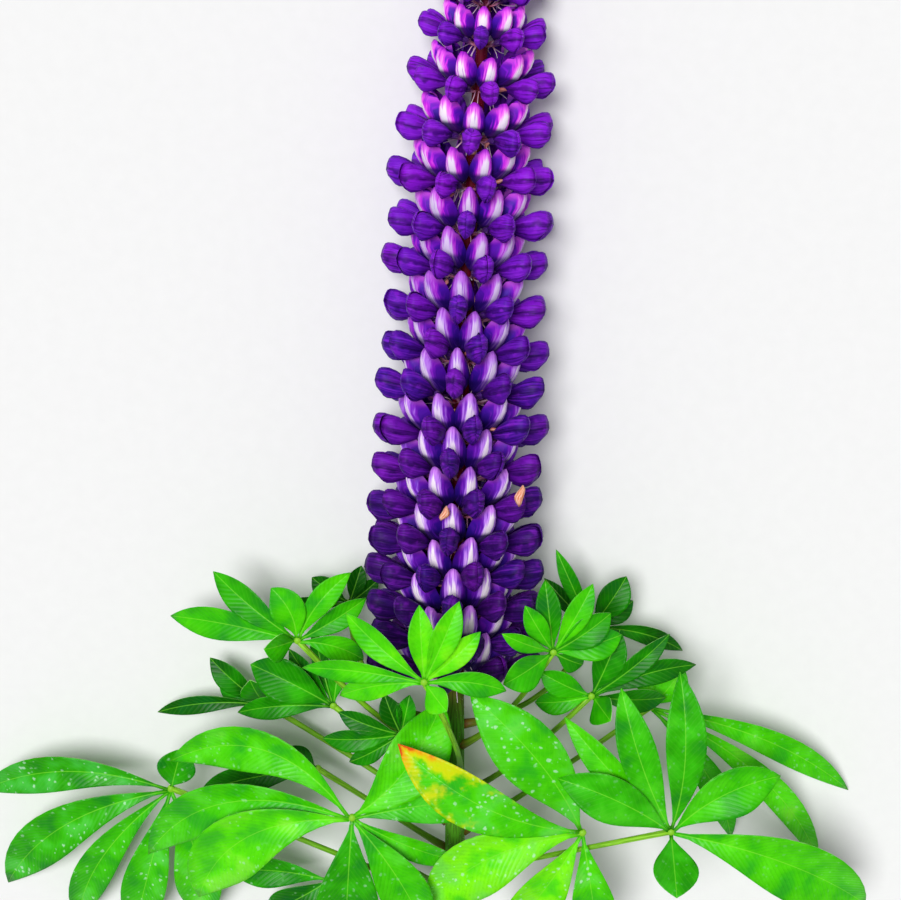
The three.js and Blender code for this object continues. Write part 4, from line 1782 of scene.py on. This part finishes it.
@dataclass(kw_only=True)
class Buds(FloretPiece):
    """The closed buds at the tip of the spike, each in its silky calyx with a pointed bract."""

    name: str = "closed_buds"
    start: float = 7.0
    tip: float = 30.0
    lift: float = 6.5
    lift_power: float = 1.3
    girth: float = 4.3
    widest_power: float = 1.15
    blunt: float = 0.8
    keel: float = 0.12
    height: float = 0.5
    pole: float = 0.01
    age: float = 0.75
    youngest_share: float = 0.35
    length: float = 22.0
    half_turn_girth: float = 3.0
    calyx_reach: tuple[float, float] = (1.0, 17.0)
    calyx_lip: float = 2.0
    calyx_radius: tuple[float, float] = (0.6, 3.5)
    calyx_swell: tuple[float, float] = (0.25, 0.75)
    calyx_height: tuple[float, float] = (0.3, 2.6)
    calyx_power: float = 1.4
    calyx_shares: tuple[float, float] = (0.25, 0.6)
    calyx_length: float = 15.0
    calyx_girth: float = 2.5
    bract_reach: tuple[float, float] = (2.0, 24.0)
    bract_half_width: float = 1.5
    bract_least: float = 0.08
    bract_span: tuple[float, float] = (0.18, 0.8)
    bract_drop: tuple[float, float, float] = (1.2, 4.2, 1.5)
    bract_hollow: float = 0.5
    bract_thickness: float = 0.25
    bract_shares: tuple[float, float] = (0.55, 0.2)
    bract_length: float = 10.0

    def shapes(self) -> tuple[Shape, ...]:
        """The folded petals, the calyx and the bract of one bud."""
        return (
            Shape(ball_pattern(8, 6), self.place_petals, self.petal_marks),
            Shape(rod_pattern(6, 4), self.place_calyx, self.calyx_marks, 1),
            Shape(sheet_pattern(2, 6), self.place_bract, self.bract_marks, 3),
        )

    def share(self, at: Vector) -> float:
        """The share of the bud's length for a point of the ball."""
        return math.acos(max(-1.0, min(1.0, -at.z))) / math.pi

    def place_petals(self, bud: Floret, _: int, at: Vector) -> Vector:
        """Draws the ball out into the folded petals.

        Args:
            bud: The bud.
            _: The hand, which a bud doesn't have.
            at: A point of the ball.

        Returns:
            Its place on the bud.
        """
        share = self.share(at)
        radius = self.girth * math.sin(math.pi * share**self.widest_power) ** self.blunt
        spread = radius if self.pole < share < 1.0 - self.pole else 0.0
        turn = math.atan2(at.y, at.x)
        keel = 1.0 + self.keel * math.cos(2.0 * turn)
        up = self.lift * share**self.lift_power + self.height + spread * math.sin(turn) * keel
        return bud.put(lerp(self.start, self.tip, share), spread * math.cos(turn) / keel, up)

    def petal_marks(self, bud: Floret, _: int, at: Vector) -> dict[Mark, float]:
        """What the petals remember at a point of the ball."""
        share = self.share(at)
        return {
            Mark.AGE: self.age,
            Mark.TONE: bud.chance(Chance.BUD_TONE),
            Mark.SHARE: lerp(self.youngest_share, 1.0, share),
            Mark.LENGTHWISE: share * self.length,
            Mark.CROSSWISE: math.atan2(at.y, at.x) * self.half_turn_girth,
        }

    def place_calyx(self, bud: Floret, _: int, at: Vector) -> Vector:
        """Swells the rod from the stalk to the calyx.

        Args:
            bud: The bud.
            _: The hand, which a calyx doesn't have.
            at: A point of the rod.

        Returns:
            Its place on the stalk or calyx.
        """
        (slim, swell), (from_share, over_share) = self.calyx_radius, self.calyx_swell
        radius = slim + swell * eased((at.z - from_share) / over_share)
        out = lerp(self.calyx_reach[0], self.calyx_reach[1] + self.calyx_lip * at.y, at.z)
        low, climb = self.calyx_height
        return bud.put(out, radius * at.x, low + climb * at.z**self.calyx_power + radius * at.y)

    def calyx_marks(self, bud: Floret, _: int, at: Vector) -> dict[Mark, float]:
        """What the calyx remembers at a point of the rod."""
        return {
            Mark.TONE: bud.chance(Chance.BUD_CALYX_TONE),
            Mark.SHARE: self.calyx_shares[0] + self.calyx_shares[1] * at.z,
            Mark.LENGTHWISE: at.z * self.calyx_length,
            Mark.CROSSWISE: math.atan2(at.y, at.x) * self.calyx_girth,
        }

    def place_bract(self, bud: Floret, _: int, at: Vector) -> Vector:
        """Lays the sheet under the bud as its bract, with the tip curled out.

        Args:
            bud: The bud.
            _: The hand, which a bract doesn't have.
            at: A point of the sheet.

        Returns:
            Its place on the bract.
        """
        share = 0.5 * (at.y + 1.0)
        foot, run = self.bract_span
        half = math.sin(math.pi * min(share * run + foot, 1.0)) ** self.blunt
        half = self.bract_half_width * half + self.bract_least
        drop, sag, curl = self.bract_drop
        up = -drop - sag * math.sin(math.pi * min(share, 1.0)) ** self.blunt - curl * share**3
        up += self.bract_hollow * abs(at.x) * half + self.bract_thickness * at.z
        return bud.put(self.bract_reach[0] + self.bract_reach[1] * share, half * at.x, up)

    def bract_marks(self, bud: Floret, _: int, at: Vector) -> dict[Mark, float]:
        """What the bract remembers at a point of the sheet."""
        return {
            Mark.TONE: bud.chance(Chance.BUD_BRACT_TONE),
            Mark.SHARE: self.bract_shares[0] + self.bract_shares[1] * at.y,
            Mark.LENGTHWISE: at.y * self.bract_length,
            Mark.CROSSWISE: at.x * self.bract_half_width,
        }


@dataclass(frozen=True)
class Scrap:
    """One dried petal: its middle, its long direction, its length and its width."""

    middle: tuple[float, float, float]
    heading: tuple[float, float, float]
    length: float
    width: float
    tone: float


@dataclass
class WitheredPetals:
    """The few dried petals that hang among the florets."""

    scraps: tuple[Scrap, ...] = (
        Scrap((25.5, 78.4, 54.0), (0.15, 1.0, 0.1), 9.0, 4.4, 0.3),
        Scrap((-4.5, 72.0, 56.0), (0.35, 1.0, 0.15), 6.5, 4.0, 0.3),
        Scrap((17.4, 233.5, 36.0), (1.0, -0.25, 0.1), 4.5, 2.2, 0.6),
        Scrap((12.2, 212.4, 36.0), (0.5, 0.8, 0.1), 3.0, 1.8, 0.7),
        Scrap((7.0, 209.7, 37.0), (1.0, 0.5, 0.0), 2.6, 1.6, 0.4),
        Scrap((16.6, 198.9, 37.0), (1.0, 0.1, 0.1), 4.0, 2.0, 0.5),
        Scrap((-1.8, 193.2, 38.0), (0.8, 0.6, 0.1), 3.6, 2.2, 0.6),
        Scrap((-3.6, 160.1, 40.0), (0.3, 1.0, 0.0), 3.2, 2.0, 0.7),
        Scrap((7.0, 153.3, 40.0), (0.5, 1.0, 0.0), 3.0, 1.8, 0.4),
        Scrap((0.2, 145.1, 41.0), (1.0, 0.4, 0.0), 3.4, 2.0, 0.5),
        Scrap((4.6, 133.1, 41.0), (0.4, 1.0, 0.0), 3.2, 1.8, 0.6),
        Scrap((10.2, 118.8, 41.0), (1.0, -0.3, 0.0), 3.6, 2.0, 0.7),
        Scrap((-1.0, 109.4, 42.0), (0.6, 0.8, 0.0), 3.4, 2.0, 0.4),
        Scrap((15.0, 102.6, 42.0), (1.0, 0.3, 0.0), 3.4, 1.8, 0.5),
        Scrap((-5.8, 80.1, 42.0), (0.7, 0.6, 0.0), 4.2, 2.4, 0.6),
    )
    cells: tuple[int, int] = (4, 6)
    thickness: float = 0.25
    end: float = 0.02
    blunt: float = 0.7
    fold: float = 0.7
    crumple: float = 0.14
    crumples: float = 9.0
    slant: float = 3.0
    curl: float = 0.36
    width_kept: float = 0.8
    bend: float = 0.4
    bends: float = 4.0

    def place(self, number: int, scrap: Scrap, at: Vector) -> Vector:
        """Folds and curls the sheet into a dried petal.

        Args:
            number: The scrap's number.
            scrap: Where it lies, and its size.
            at: A point of the sheet.

        Returns:
            Its place on the dried petal.
        """
        ahead = Vector(scrap.heading).normalized()
        left = UP.cross(ahead).normalized()
        raised = ahead.cross(left)
        share = 0.5 * (at.y + 1.0)
        inside = min(max(share, self.end), 1.0 - self.end)
        half = 0.5 * scrap.width * math.sin(math.pi * inside) ** self.blunt
        ripple = math.sin(self.crumples * share + number + self.slant * at.x)
        rise = self.fold * half * (1.0 - abs(at.x)) + self.crumple * half * ripple
        rise -= self.curl * (share - 0.5) ** 2 * scrap.length
        bend = self.bend * math.sin(self.bends * share + 2.0 * number)
        side = half * (self.width_kept * at.x + bend)
        flat = Vector(scrap.middle) + ahead * (scrap.length * (share - 0.5)) + left * side
        return flat + raised * (rise + self.thickness * at.z)

    def marks(self, scrap: Scrap, at: Vector) -> dict[Mark, float]:
        """What the dried petal remembers at a point of the sheet."""
        return {
            Mark.TONE: scrap.tone,
            Mark.SHARE: 0.5 * (at.y + 1.0),
            Mark.LENGTHWISE: at.y * 0.5 * scrap.length,
            Mark.CROSSWISE: at.x * 0.5 * scrap.width,
        }

    def build(self, paper: Material) -> Object:
        """Builds the dried petals.

        Args:
            paper: Their finish.

        Returns:
            The dried petals, which stand for the CAD node of the spike.
        """
        bunch = Bunch("withered_petals", STALK_MARKS)
        pattern = sheet_pattern(*self.cells)
        for number, scrap in enumerate(self.scraps):
            bunch.add(pattern, partial(self.place, number, scrap), partial(self.marks, scrap))
        return bunch.finished([paper] * len(Side), SPIKE_NODE)


# ----------------------------------------------------------------------------------------------
# The leaves
# ----------------------------------------------------------------------------------------------


@dataclass(frozen=True)
class Leaflet:
    """One leaflet: its bearing from +X, reach, greatest width, height of its tip, and bow."""

    bearing: float
    reach: float
    width: float
    tip_height: float
    bow: float


@dataclass(frozen=True)
class LeafPlan:
    """Where one leaf grows, what its surface has been through, and its tone of green, which is
    painted darker as shade on leaves that lie under or behind others.
    """

    name: str
    at: float
    turn: float
    hub: tuple[float, float, float]
    leaflets: tuple[tuple[float, float, float, float, float], ...]
    bend: tuple[float, float] = (0.3, 0.2)
    # Partly painted light: low on leaves that lie under or behind others, high on those on top.
    tone: float = 0.5
    specks: float = 0.0
    blushing: int = -1


@dataclass
class PalmateLeaf:
    """One palmate leaf: its stalk, the knot at its middle, and the leaflets round it."""

    plan: LeafPlan
    spine: Spine
    number: int
    cells: tuple[int, int] = (8, 16)
    leaflet_start: float = 1.2
    arch: float = 0.22
    # Half widths: of the leaflet's own stalk, and the least at its tip.
    stalk_half_width: float = 0.75
    least_half_width: float = 0.12
    widest_power: float = 1.38
    blunt: float = 0.9
    tip_share: float = 0.999
    fold_rise: float = 0.34
    fold_power: float = 1.15
    ripple: float = 0.035
    ripples: tuple[float, float] = (9.0, 3.0)
    groove: float = 0.22
    blade_thickness: float = 0.5
    rim_loss: float = 0.45
    rib_depth: float = 0.75
    rib_half_width: float = 0.14
    rib_loss: float = 0.8
    twist: float = 9.0
    tone_swing: float = 0.22
    # Each blush: where it starts along the blade, over what length it comes up, and how deep.
    face_blush: tuple[float, float, float] = (0.5, 0.5, 0.3)
    tip_blush: tuple[float, float, float] = (0.86, 0.14, 0.8)
    margin_span: tuple[float, float] = (0.1, 0.8)
    # The depth at the left-hand and the right-hand margin.
    margin_blush: tuple[float, float] = (0.65, 0.4)
    petiole_cells: tuple[int, int] = (8, 16)
    length_steps: int = 8
    petiole_radius: float = 1.3
    petiole_gap: float = 0.5
    petiole_sink: float = 2.4
    petiole_side: tuple[float, float, float] = (0.3, 0.2, 1.0)
    # The stalk's girth along it: the middle, what the foot adds, and what the knot adds.
    petiole_girth: tuple[float, float, float] = (0.88, 0.75, 0.12)
    petiole_powers: tuple[int, int] = (6, 8)
    petiole_tone: float = 0.1
    knot_cells: tuple[int, int] = (12, 8)
    knot_radii: tuple[float, float, float] = (1.7, 1.7, 1.3)
    knot_drop: float = 0.6
    hub_drop: float = 0.8
    # Places of the columns of cells, closer together at the midrib and the edges.
    columns: tuple[float, ...] = (-1.0, -0.84, -0.52, -0.14, 0.0, 0.14, 0.52, 0.84, 1.0)

    def half_width(self, share: float, width: float) -> float:
        """Half a leaflet's width: narrow at the stalk and widest past the middle.

        Args:
            share: A share of the leaflet's length.
            width: Its greatest width.

        Returns:
            The half width.
        """
        swell = math.sin(math.pi * min(share, self.tip_share) ** self.widest_power) ** self.blunt
        stalk = self.stalk_half_width * (1.0 - share)
        return max(stalk, 0.5 * width * swell, self.least_half_width)

    def line(self, leaflet: Leaflet) -> tuple[Vector, Vector, Vector]:
        """The control points of a leaflet's middle line.

        Args:
            leaflet: The leaflet.

        Returns:
            Its start, its middle and its tip.
        """
        hub = Vector(self.plan.hub)
        bearing = math.radians(leaflet.bearing)
        heading = Vector((math.cos(bearing), math.sin(bearing), 0.0))
        start, tip = hub + heading * self.leaflet_start, hub + heading * leaflet.reach
        tip.z = leaflet.tip_height
        left = Vector((-heading.y, heading.x, 0.0))
        middle = start.lerp(tip, 0.5) + left * (2.0 * leaflet.bow)
        middle.z += self.arch * leaflet.reach
        return start, middle, tip

    def column(self, across: float) -> float:
        """The place of a column of cells.

        Args:
            across: The column's place when all are evenly spaced, from -1 to 1.

        Returns:
            Its place across the blade, from -1 to 1.
        """
        spot = (across + 1.0) * 0.5 * (len(self.columns) - 1)
        low = min(int(spot), len(self.columns) - 2)
        return lerp(self.columns[low], self.columns[low + 1], spot - low)

    def chance(self, kind: int, order: int) -> float:
        """A settled draw of one leaflet's own, between -1 and 1."""
        return draw(self.number, order, kind)

    def place_leaflet(self, order: int, leaflet: Leaflet, at: Vector) -> Vector:
        """Bends the sheet into a leaflet.

        Args:
            order: The leaflet's number in the leaf.
            leaflet: Its size and direction.
            at: A point of the sheet.

        Returns:
            Its place on the leaflet.
        """
        line, share, across = self.line(leaflet), 0.5 * (at.y + 1.0), self.column(at.x)
        centre, ahead = bezier(line, share), bezier_heading(line, share)
        left = Vector((-ahead.y, ahead.x, 0.0)).normalized()
        roll = math.radians(self.twist * self.chance(Chance.LEAFLET_TWIST, order)) * share
        flat = left * math.cos(roll) + ahead.cross(left) * math.sin(roll)
        half, edge = self.half_width(share, leaflet.width), abs(across)
        wave = 0.5 + 0.5 * self.chance(Chance.LEAFLET_WAVE, order)
        along, over = self.ripples
        rise = self.fold_rise * half * edge**self.fold_power
        rise += self.ripple * half * wave * math.sin(along * share + over * across + order) * edge
        rib = max(0.0, 1.0 - edge / self.rib_half_width)
        rise -= self.groove * rib * (1.0 - share)
        depth = self.blade_thickness * (1.0 - self.rim_loss * edge)
        depth += self.rib_depth * rib * (1.0 - self.rib_loss * share)
        return centre + flat * (half * across) + ahead.cross(flat) * (rise + depth * at.z)

    def blush(self, share: float, across: float) -> float:
        """How far a leaflet has turned yellow and red: its margins and its tip come first.

        Args:
            share: A share of the leaflet's length.
            across: A place across it, from -1 to 1.

        Returns:
            The blush, which is 0 where the leaflet is still green.
        """
        left, right = self.margin_blush
        margin = left * max(-across, 0.0) + right * max(across, 0.0)
        zones = (self.face_blush, (*self.margin_span, margin), self.tip_blush)
        return sum(depth * eased((share - start) / length) for start, length, depth in zones)

    def leaflet_marks(self, order: int, leaflet: Leaflet, at: Vector) -> dict[Mark, float]:
        """What a leaflet remembers.

        Args:
            order: The leaflet's number in the leaf.
            leaflet: Its size and direction.
            at: A point of the sheet.

        Returns:
            The value of each mark.
        """
        share, across = 0.5 * (at.y + 1.0), self.column(at.x)
        tone = self.tone_swing * self.chance(Chance.LEAFLET_TONE, order)
        return {
            Mark.TONE: self.plan.tone + tone,
            Mark.SHARE: share,
            Mark.EDGE: abs(across),
            Mark.LENGTHWISE: share * leaflet.reach,
            Mark.CROSSWISE: across * self.half_width(share, leaflet.width),
            Mark.SPECKS: self.plan.specks,
            Mark.BLUSH: self.blush(share, across) if order == self.plan.blushing else 0.0,
        }

    def petiole_line(self) -> tuple[Vector, Vector, Vector]:
        """The control points of the leaf's stalk.

        Returns:
            Its foot in the stem, its middle and its end under the knot.
        """
        forward, side, front = self.spine.directions(self.plan.at)
        turn = math.radians(self.plan.turn)
        outward = front * math.cos(turn) + side * math.sin(turn)
        clear = self.spine.radius(self.plan.at) + self.petiole_radius + self.petiole_gap
        foot = self.spine.point(self.plan.at) + outward * clear
        hub = Vector(self.plan.hub)
        span = (hub - foot).length
        middle = foot + outward * (self.plan.bend[0] * span) + forward * (self.plan.bend[1] * span)
        return foot - outward * self.petiole_sink, middle, hub - UP * self.hub_drop

    def place_petiole(self, line: Sequence[Vector], at: Vector) -> Vector:
        """Bends the rod along the stalk's line, stouter where it leaves the stem.

        Args:
            line: The control points of the line.
            at: A point of the rod.

        Returns:
            Its place on the stalk.
        """
        centre, ahead = bezier(line, at.z), bezier_heading(line, at.z)
        aside = ahead.cross(Vector(self.petiole_side)).normalized()
        other = ahead.cross(aside)
        (middle, foot, knot), (low, high) = self.petiole_girth, self.petiole_powers
        radius = self.petiole_radius * (middle + foot * (1.0 - at.z) ** low + knot * at.z**high)
        return centre + aside * (radius * at.x) + other * (radius * at.y)

    def petiole_marks(self, length: float, at: Vector) -> dict[Mark, float]:
        """What the leaf's stalk remembers at a point of the rod."""
        return {
            Mark.SHARE: at.z,
            Mark.TONE: self.petiole_tone * self.number,
            Mark.LENGTHWISE: at.z * length,
            Mark.CROSSWISE: abs(math.atan2(at.y, at.x)) * self.petiole_radius,
        }

    def place_knot(self, at: Vector) -> Vector:
        """Flattens the ball into the pale knot where the leaflets meet.

        Args:
            at: A point of the ball.

        Returns:
            Its place on the knot.
        """
        wide, deep, high = self.knot_radii
        flattened = Vector((wide * at.x, deep * at.y, high * at.z - self.knot_drop))
        return Vector(self.plan.hub) + flattened

    def build(self, finishes: Sequence[Material]) -> Object:
        """Builds the leaf.

        Args:
            finishes: Upper face, under face, rim and stalk.

        Returns:
            The leaf, which stands for its CAD node.
        """
        bunch = Bunch(self.plan.name + "_grown", tuple(m for m in Mark if m is not Mark.AGE))
        pattern = sheet_pattern(*self.cells)
        for order, sizes in enumerate(self.plan.leaflets):
            leaflet = Leaflet(*sizes)
            place = partial(self.place_leaflet, order, leaflet)
            bunch.add(pattern, place, partial(self.leaflet_marks, order, leaflet))
        line = self.petiole_line()
        steps = [bezier(line, step / self.length_steps) for step in range(self.length_steps + 1)]
        length = sum((far - near).length for near, far in zip(steps, steps[1:]))
        rod, ball = rod_pattern(*self.petiole_cells), ball_pattern(*self.knot_cells)
        place, marks = partial(self.place_petiole, line), partial(self.petiole_marks, length)
        stalk = len(Side)
        bunch.add(rod, place, marks, stalk)
        bunch.add(ball, self.place_knot, lambda at: {Mark.SHARE: 1.0}, stalk)
        return bunch.finished(finishes, self.plan.name)


# Each leaf's tone is partly painted shade: leaves behind, under or among the others are darker
# green.
LEAVES = (
    LeafPlan("leaf_over_base", -44, 10, (-12, 11, 78), (
        (141, 39, 10, 68, 0), (93, 32, 10, 82, 0), (68, 36, 11, 82, 0), (44, 30, 9, 80, 0),
        (-8, 32, 10, 75, 3), (-43, 12, 11, 88, 0), (-162, 35, 10, 62, -3), (180, 48, 9, 60, -3),
    ), bend=(0.45, 0.25), tone=0.75),
    LeafPlan("leaf_left_upper", -40, -80, (-63, 17, 44), (
        (174, 53, 13, 28, -3), (142, 43, 12, 36, 0), (113, 25, 14, 48, -3), (53, 36, 10, 46, 3),
        (31, 32, 10, 40, 0), (176, 12, 12, 58, 0), (-22, 28, 11, 36, 3),
    ), tone=0.55),
    LeafPlan("leaf_right_upper", -32, 60, (39, 14, 50), (
        (119, 24, 9, 56, 0), (97, 30, 10, 50, 0), (63, 33, 10, 54, 0), (37, 28, 13, 52, 0),
        (14, 28, 13, 48, 0), (150, 24, 7, 64, 0), (-157, 22, 14, 64, 0), (-30, 14, 9, 44, 0),
    ), tone=0.5),
    LeafPlan("leaf_right_middle", -54, 75, (55, -7, 42), (
        (70, 31, 13, 46, 0), (42, 41, 9, 46, 0), (15, 44, 10, 36, 4), (151, 24, 11, 46, 0),
        (-170, 23, 10, 38, 0), (-36, 8, 13, 58, 0), (-6, 31, 10, 34, 0),
    ), tone=0.36),
    LeafPlan("leaf_right_behind", -24, 110, (56, 16, 22), (
        (114, 37, 7, 26, 0), (134, 28, 7, 20, 0), (58, 26, 13, 24, 0), (30, 20, 9, 18, 0),
        (-19, 41, 8, 12, 4),
    ), bend=(0.6, 0.0), tone=0.15),
    LeafPlan("leaf_right_large", -90, 40, (86, -57, 62), (
        (131, 66, 12, 66, 0), (109, 66, 15, 68, 2), (89, 69, 16, 68, -3), (29, 49, 20, 62, 6),
        (-26, 93, 27, 40, 8), (150, 53, 19, 72, -4), (-89, 18, 18, 84, 0),
    ), tone=0.56, specks=0.15),
    LeafPlan("leaf_left_large", -96, -40, (-41, -51, 62), (
        (170, 77, 19, 34, -20), (51, 57, 25, 48, -4), (-146, 78, 27, 40, -16), (-94, 62, 26, 46, 0),
        (-62, 60, 20, 50, 4), (-31, 51, 10, 44, 0), (2, 60, 15, 46, 4), (-161, 92, 20, 28, -20),
    ), tone=0.62, specks=0.4),
    LeafPlan("leaf_left_far", -104, -80, (-118, -53, 26), (
        (-174, 84, 16, 6, -12), (-145, 92, 21, 1, -12), (74, 20, 16, 30, 0), (-123, 84, 16, 0, -8),
        (-106, 76, 19, 2, 0), (-84, 68, 20, 4, 6),
    ), tone=0.6, specks=0.8),
    LeafPlan("leaf_right_far", -72, 95, (81, -18, 24), (
        (-27, 98, 12, 3, 9), (-46, 110, 12, 0, 12), (-60, 74, 12, 8, 6), (58, 23, 13, 30, 0),
        (101, 26, 11, 26, 0),
    ), tone=0.6, specks=0.3),
    LeafPlan("leaf_low_centre", -84, 15, (51, -59, 58), (
        (151, 84, 21, 66, 5), (126, 77, 26, 70, -6), (-151, 71, 25, 50, -10), (-81, 56, 18, 40, 0),
        (-120, 60, 20, 38, 0),
    ), tone=0.85, specks=0.8, blushing=0),
    LeafPlan("leaf_small_centre", -62, -15, (-22, -24, 40), (
        (159, 27, 9, 40, 0), (-176, 32, 10, 38, 0), (-148, 25, 8, 36, 0), (110, 19, 9, 42, 0),
        (78, 18, 8, 42, 0),
    ), tone=0.1),
    LeafPlan("leaf_left_inner", -52, -95, (-50, -16, 28), (
        (153, 38, 18, 26, -2), (-174, 40, 10, 24, -3), (129, 29, 9, 22, 0), (106, 31, 7, 16, 0),
        (82, 24, 9, 20, 0),
    ), tone=0.15),
    LeafPlan("leaf_left_middle", -68, -110, (-80, -20, 14), (
        (136, 30, 11, 16, 0), (106, 15, 12, 26, 0), (-172, 46, 8, 6, -4), (162, 20, 9, 8, 0),
    ), tone=0.15),
    LeafPlan("leaf_left_behind", -22, -100, (-44, 22, 8), (
        (144, 19, 10, 8, 0), (72, 17, 8, 8, 0), (40, 16, 7, 8, 0), (178, 25, 6, 8, 0),
    ), bend=(0.6, 0.0), tone=0.0),
    LeafPlan("leaf_left_under", -80, -100, (-57, -45, 24), (
        (176, 55, 12, 14, -6), (-165, 52, 13, 16, -4), (138, 16, 11, 26, 0), (156, 38, 9, 22, 0),
    ), tone=0.1),
    LeafPlan("leaf_left_low", -110, -90, (-53, -96, 20), (
        (177, 44, 14, 16, -4), (-148, 32, 16, 14, 0), (-108, 34, 14, 8, 0),
    ), tone=0.35, specks=0.4),
)


# ----------------------------------------------------------------------------------------------
# The studio
# ----------------------------------------------------------------------------------------------


@dataclass(frozen=True)
class Studio:
    """The pale table, the soft light, and the camera that looks down on the shoot."""

    camera_tilt: float = 12.0
    camera_distance: float = 800.0
    focal_pixels: float = 2000.0
    image_width: float = 901.0
    sensor_width: float = 36.0
    aim: tuple[float, float, float] = (-1.84, 91.26, 27.0)
    table_size: float = 24.0
    world_strength: float = 0.3
    sun_strength: float = 2.6
    sun_softness: float = 24.0
    sun_turn: tuple[float, float, float] = (-12.0, -11.0, 0.0)
    clip: tuple[float, float] = (0.01, 50.0)

    def place_camera(self) -> None:
        """Makes the camera, which looks down on the spike from a little towards its tip."""
        tilt = math.radians(self.camera_tilt)
        back = Vector((0.0, math.sin(tilt), math.cos(tilt)))
        upward = Vector((0.0, math.cos(tilt), -math.sin(tilt)))
        right = Vector((1.0, 0.0, 0.0))
        data = bpy.data.cameras.new("camera")
        data.sensor_width = self.sensor_width
        data.lens = self.focal_pixels / self.image_width * self.sensor_width
        data.clip_start, data.clip_end = self.clip
        camera = bpy.data.objects.new("camera", data)
        spot = Vector(self.aim) + BASE_FROM_ORIGIN + back * self.camera_distance
        turned = Matrix((right, upward, back)).transposed().to_4x4()
        turned.translation = spot * MM
        camera.matrix_world = turned
        bpy.context.scene.collection.objects.link(camera)
        bpy.context.scene.camera = camera

    def lay_table(self) -> None:
        """Lays the table top under the shoot."""
        work = bmesh.new()
        bmesh.ops.create_grid(work, x_segments=1, y_segments=1, size=0.5 * self.table_size)
        mesh = bpy.data.meshes.new("table_top")
        work.to_mesh(mesh)
        work.free()
        mesh.materials.append(TableTop().material())
        table = bpy.data.objects.new("table_top", mesh)
        bpy.context.scene.collection.objects.link(table)

    def light(self) -> None:
        """Sets the soft light: an even pale room and one broad lamp from the upper left."""
        world = bpy.data.worlds.new("pale_room")
        world.use_nodes = True
        background = world.node_tree.nodes["Background"]
        background.inputs["Color"].default_value = linear("#ffffff")
        background.inputs["Strength"].default_value = self.world_strength
        bpy.context.scene.world = world
        data = bpy.data.lights.new("broad_lamp", "SUN")
        data.energy = self.sun_strength
        data.angle = math.radians(self.sun_softness)
        lamp = bpy.data.objects.new("broad_lamp", data)
        lamp.rotation_euler = tuple(math.radians(turn) for turn in self.sun_turn)
        bpy.context.scene.collection.objects.link(lamp)
        bpy.context.scene.view_settings.view_transform = "Standard"


def main() -> None:
    """Builds the dressed lupin in order and reports each piece."""
    logging.basicConfig(level=logging.INFO, format="%(message)s")
    studio = Studio()
    studio.place_camera()
    studio.lay_table()
    studio.light()

    spine = Spine()
    raceme = Raceme(spine)
    florets, buds = raceme.open_florets(), raceme.closed_buds()
    wing, banner = WingPetal().material(), BannerPetal().material()
    silky = CalyxSkin().material()
    stem = StemAndRachis(spine)
    stem.build(StemSkin().material(), CutPith().material())
    stem.build_hairs(HairSilk().material())
    Wings().build(florets, [wing] * 3)
    Banners().build(florets, [banner, wing, wing])
    Calyces(spine=spine).build(florets, [silky])
    BractThreads(spine=spine).build(florets, [BractSkin().material()])
    Buds().build(buds, [wing] + [silky] * 5)
    WitheredPetals().build(WitheredPetal().material())

    leaf_finishes = [
        LeafFace().material(), LeafBack().material(), LeafRim().material(), LeafStalk().material(),
    ]
    for number, plan in enumerate(LEAVES):
        PalmateLeaf(plan, spine, number).build(leaf_finishes)


if __name__ == "__main__":
    main()
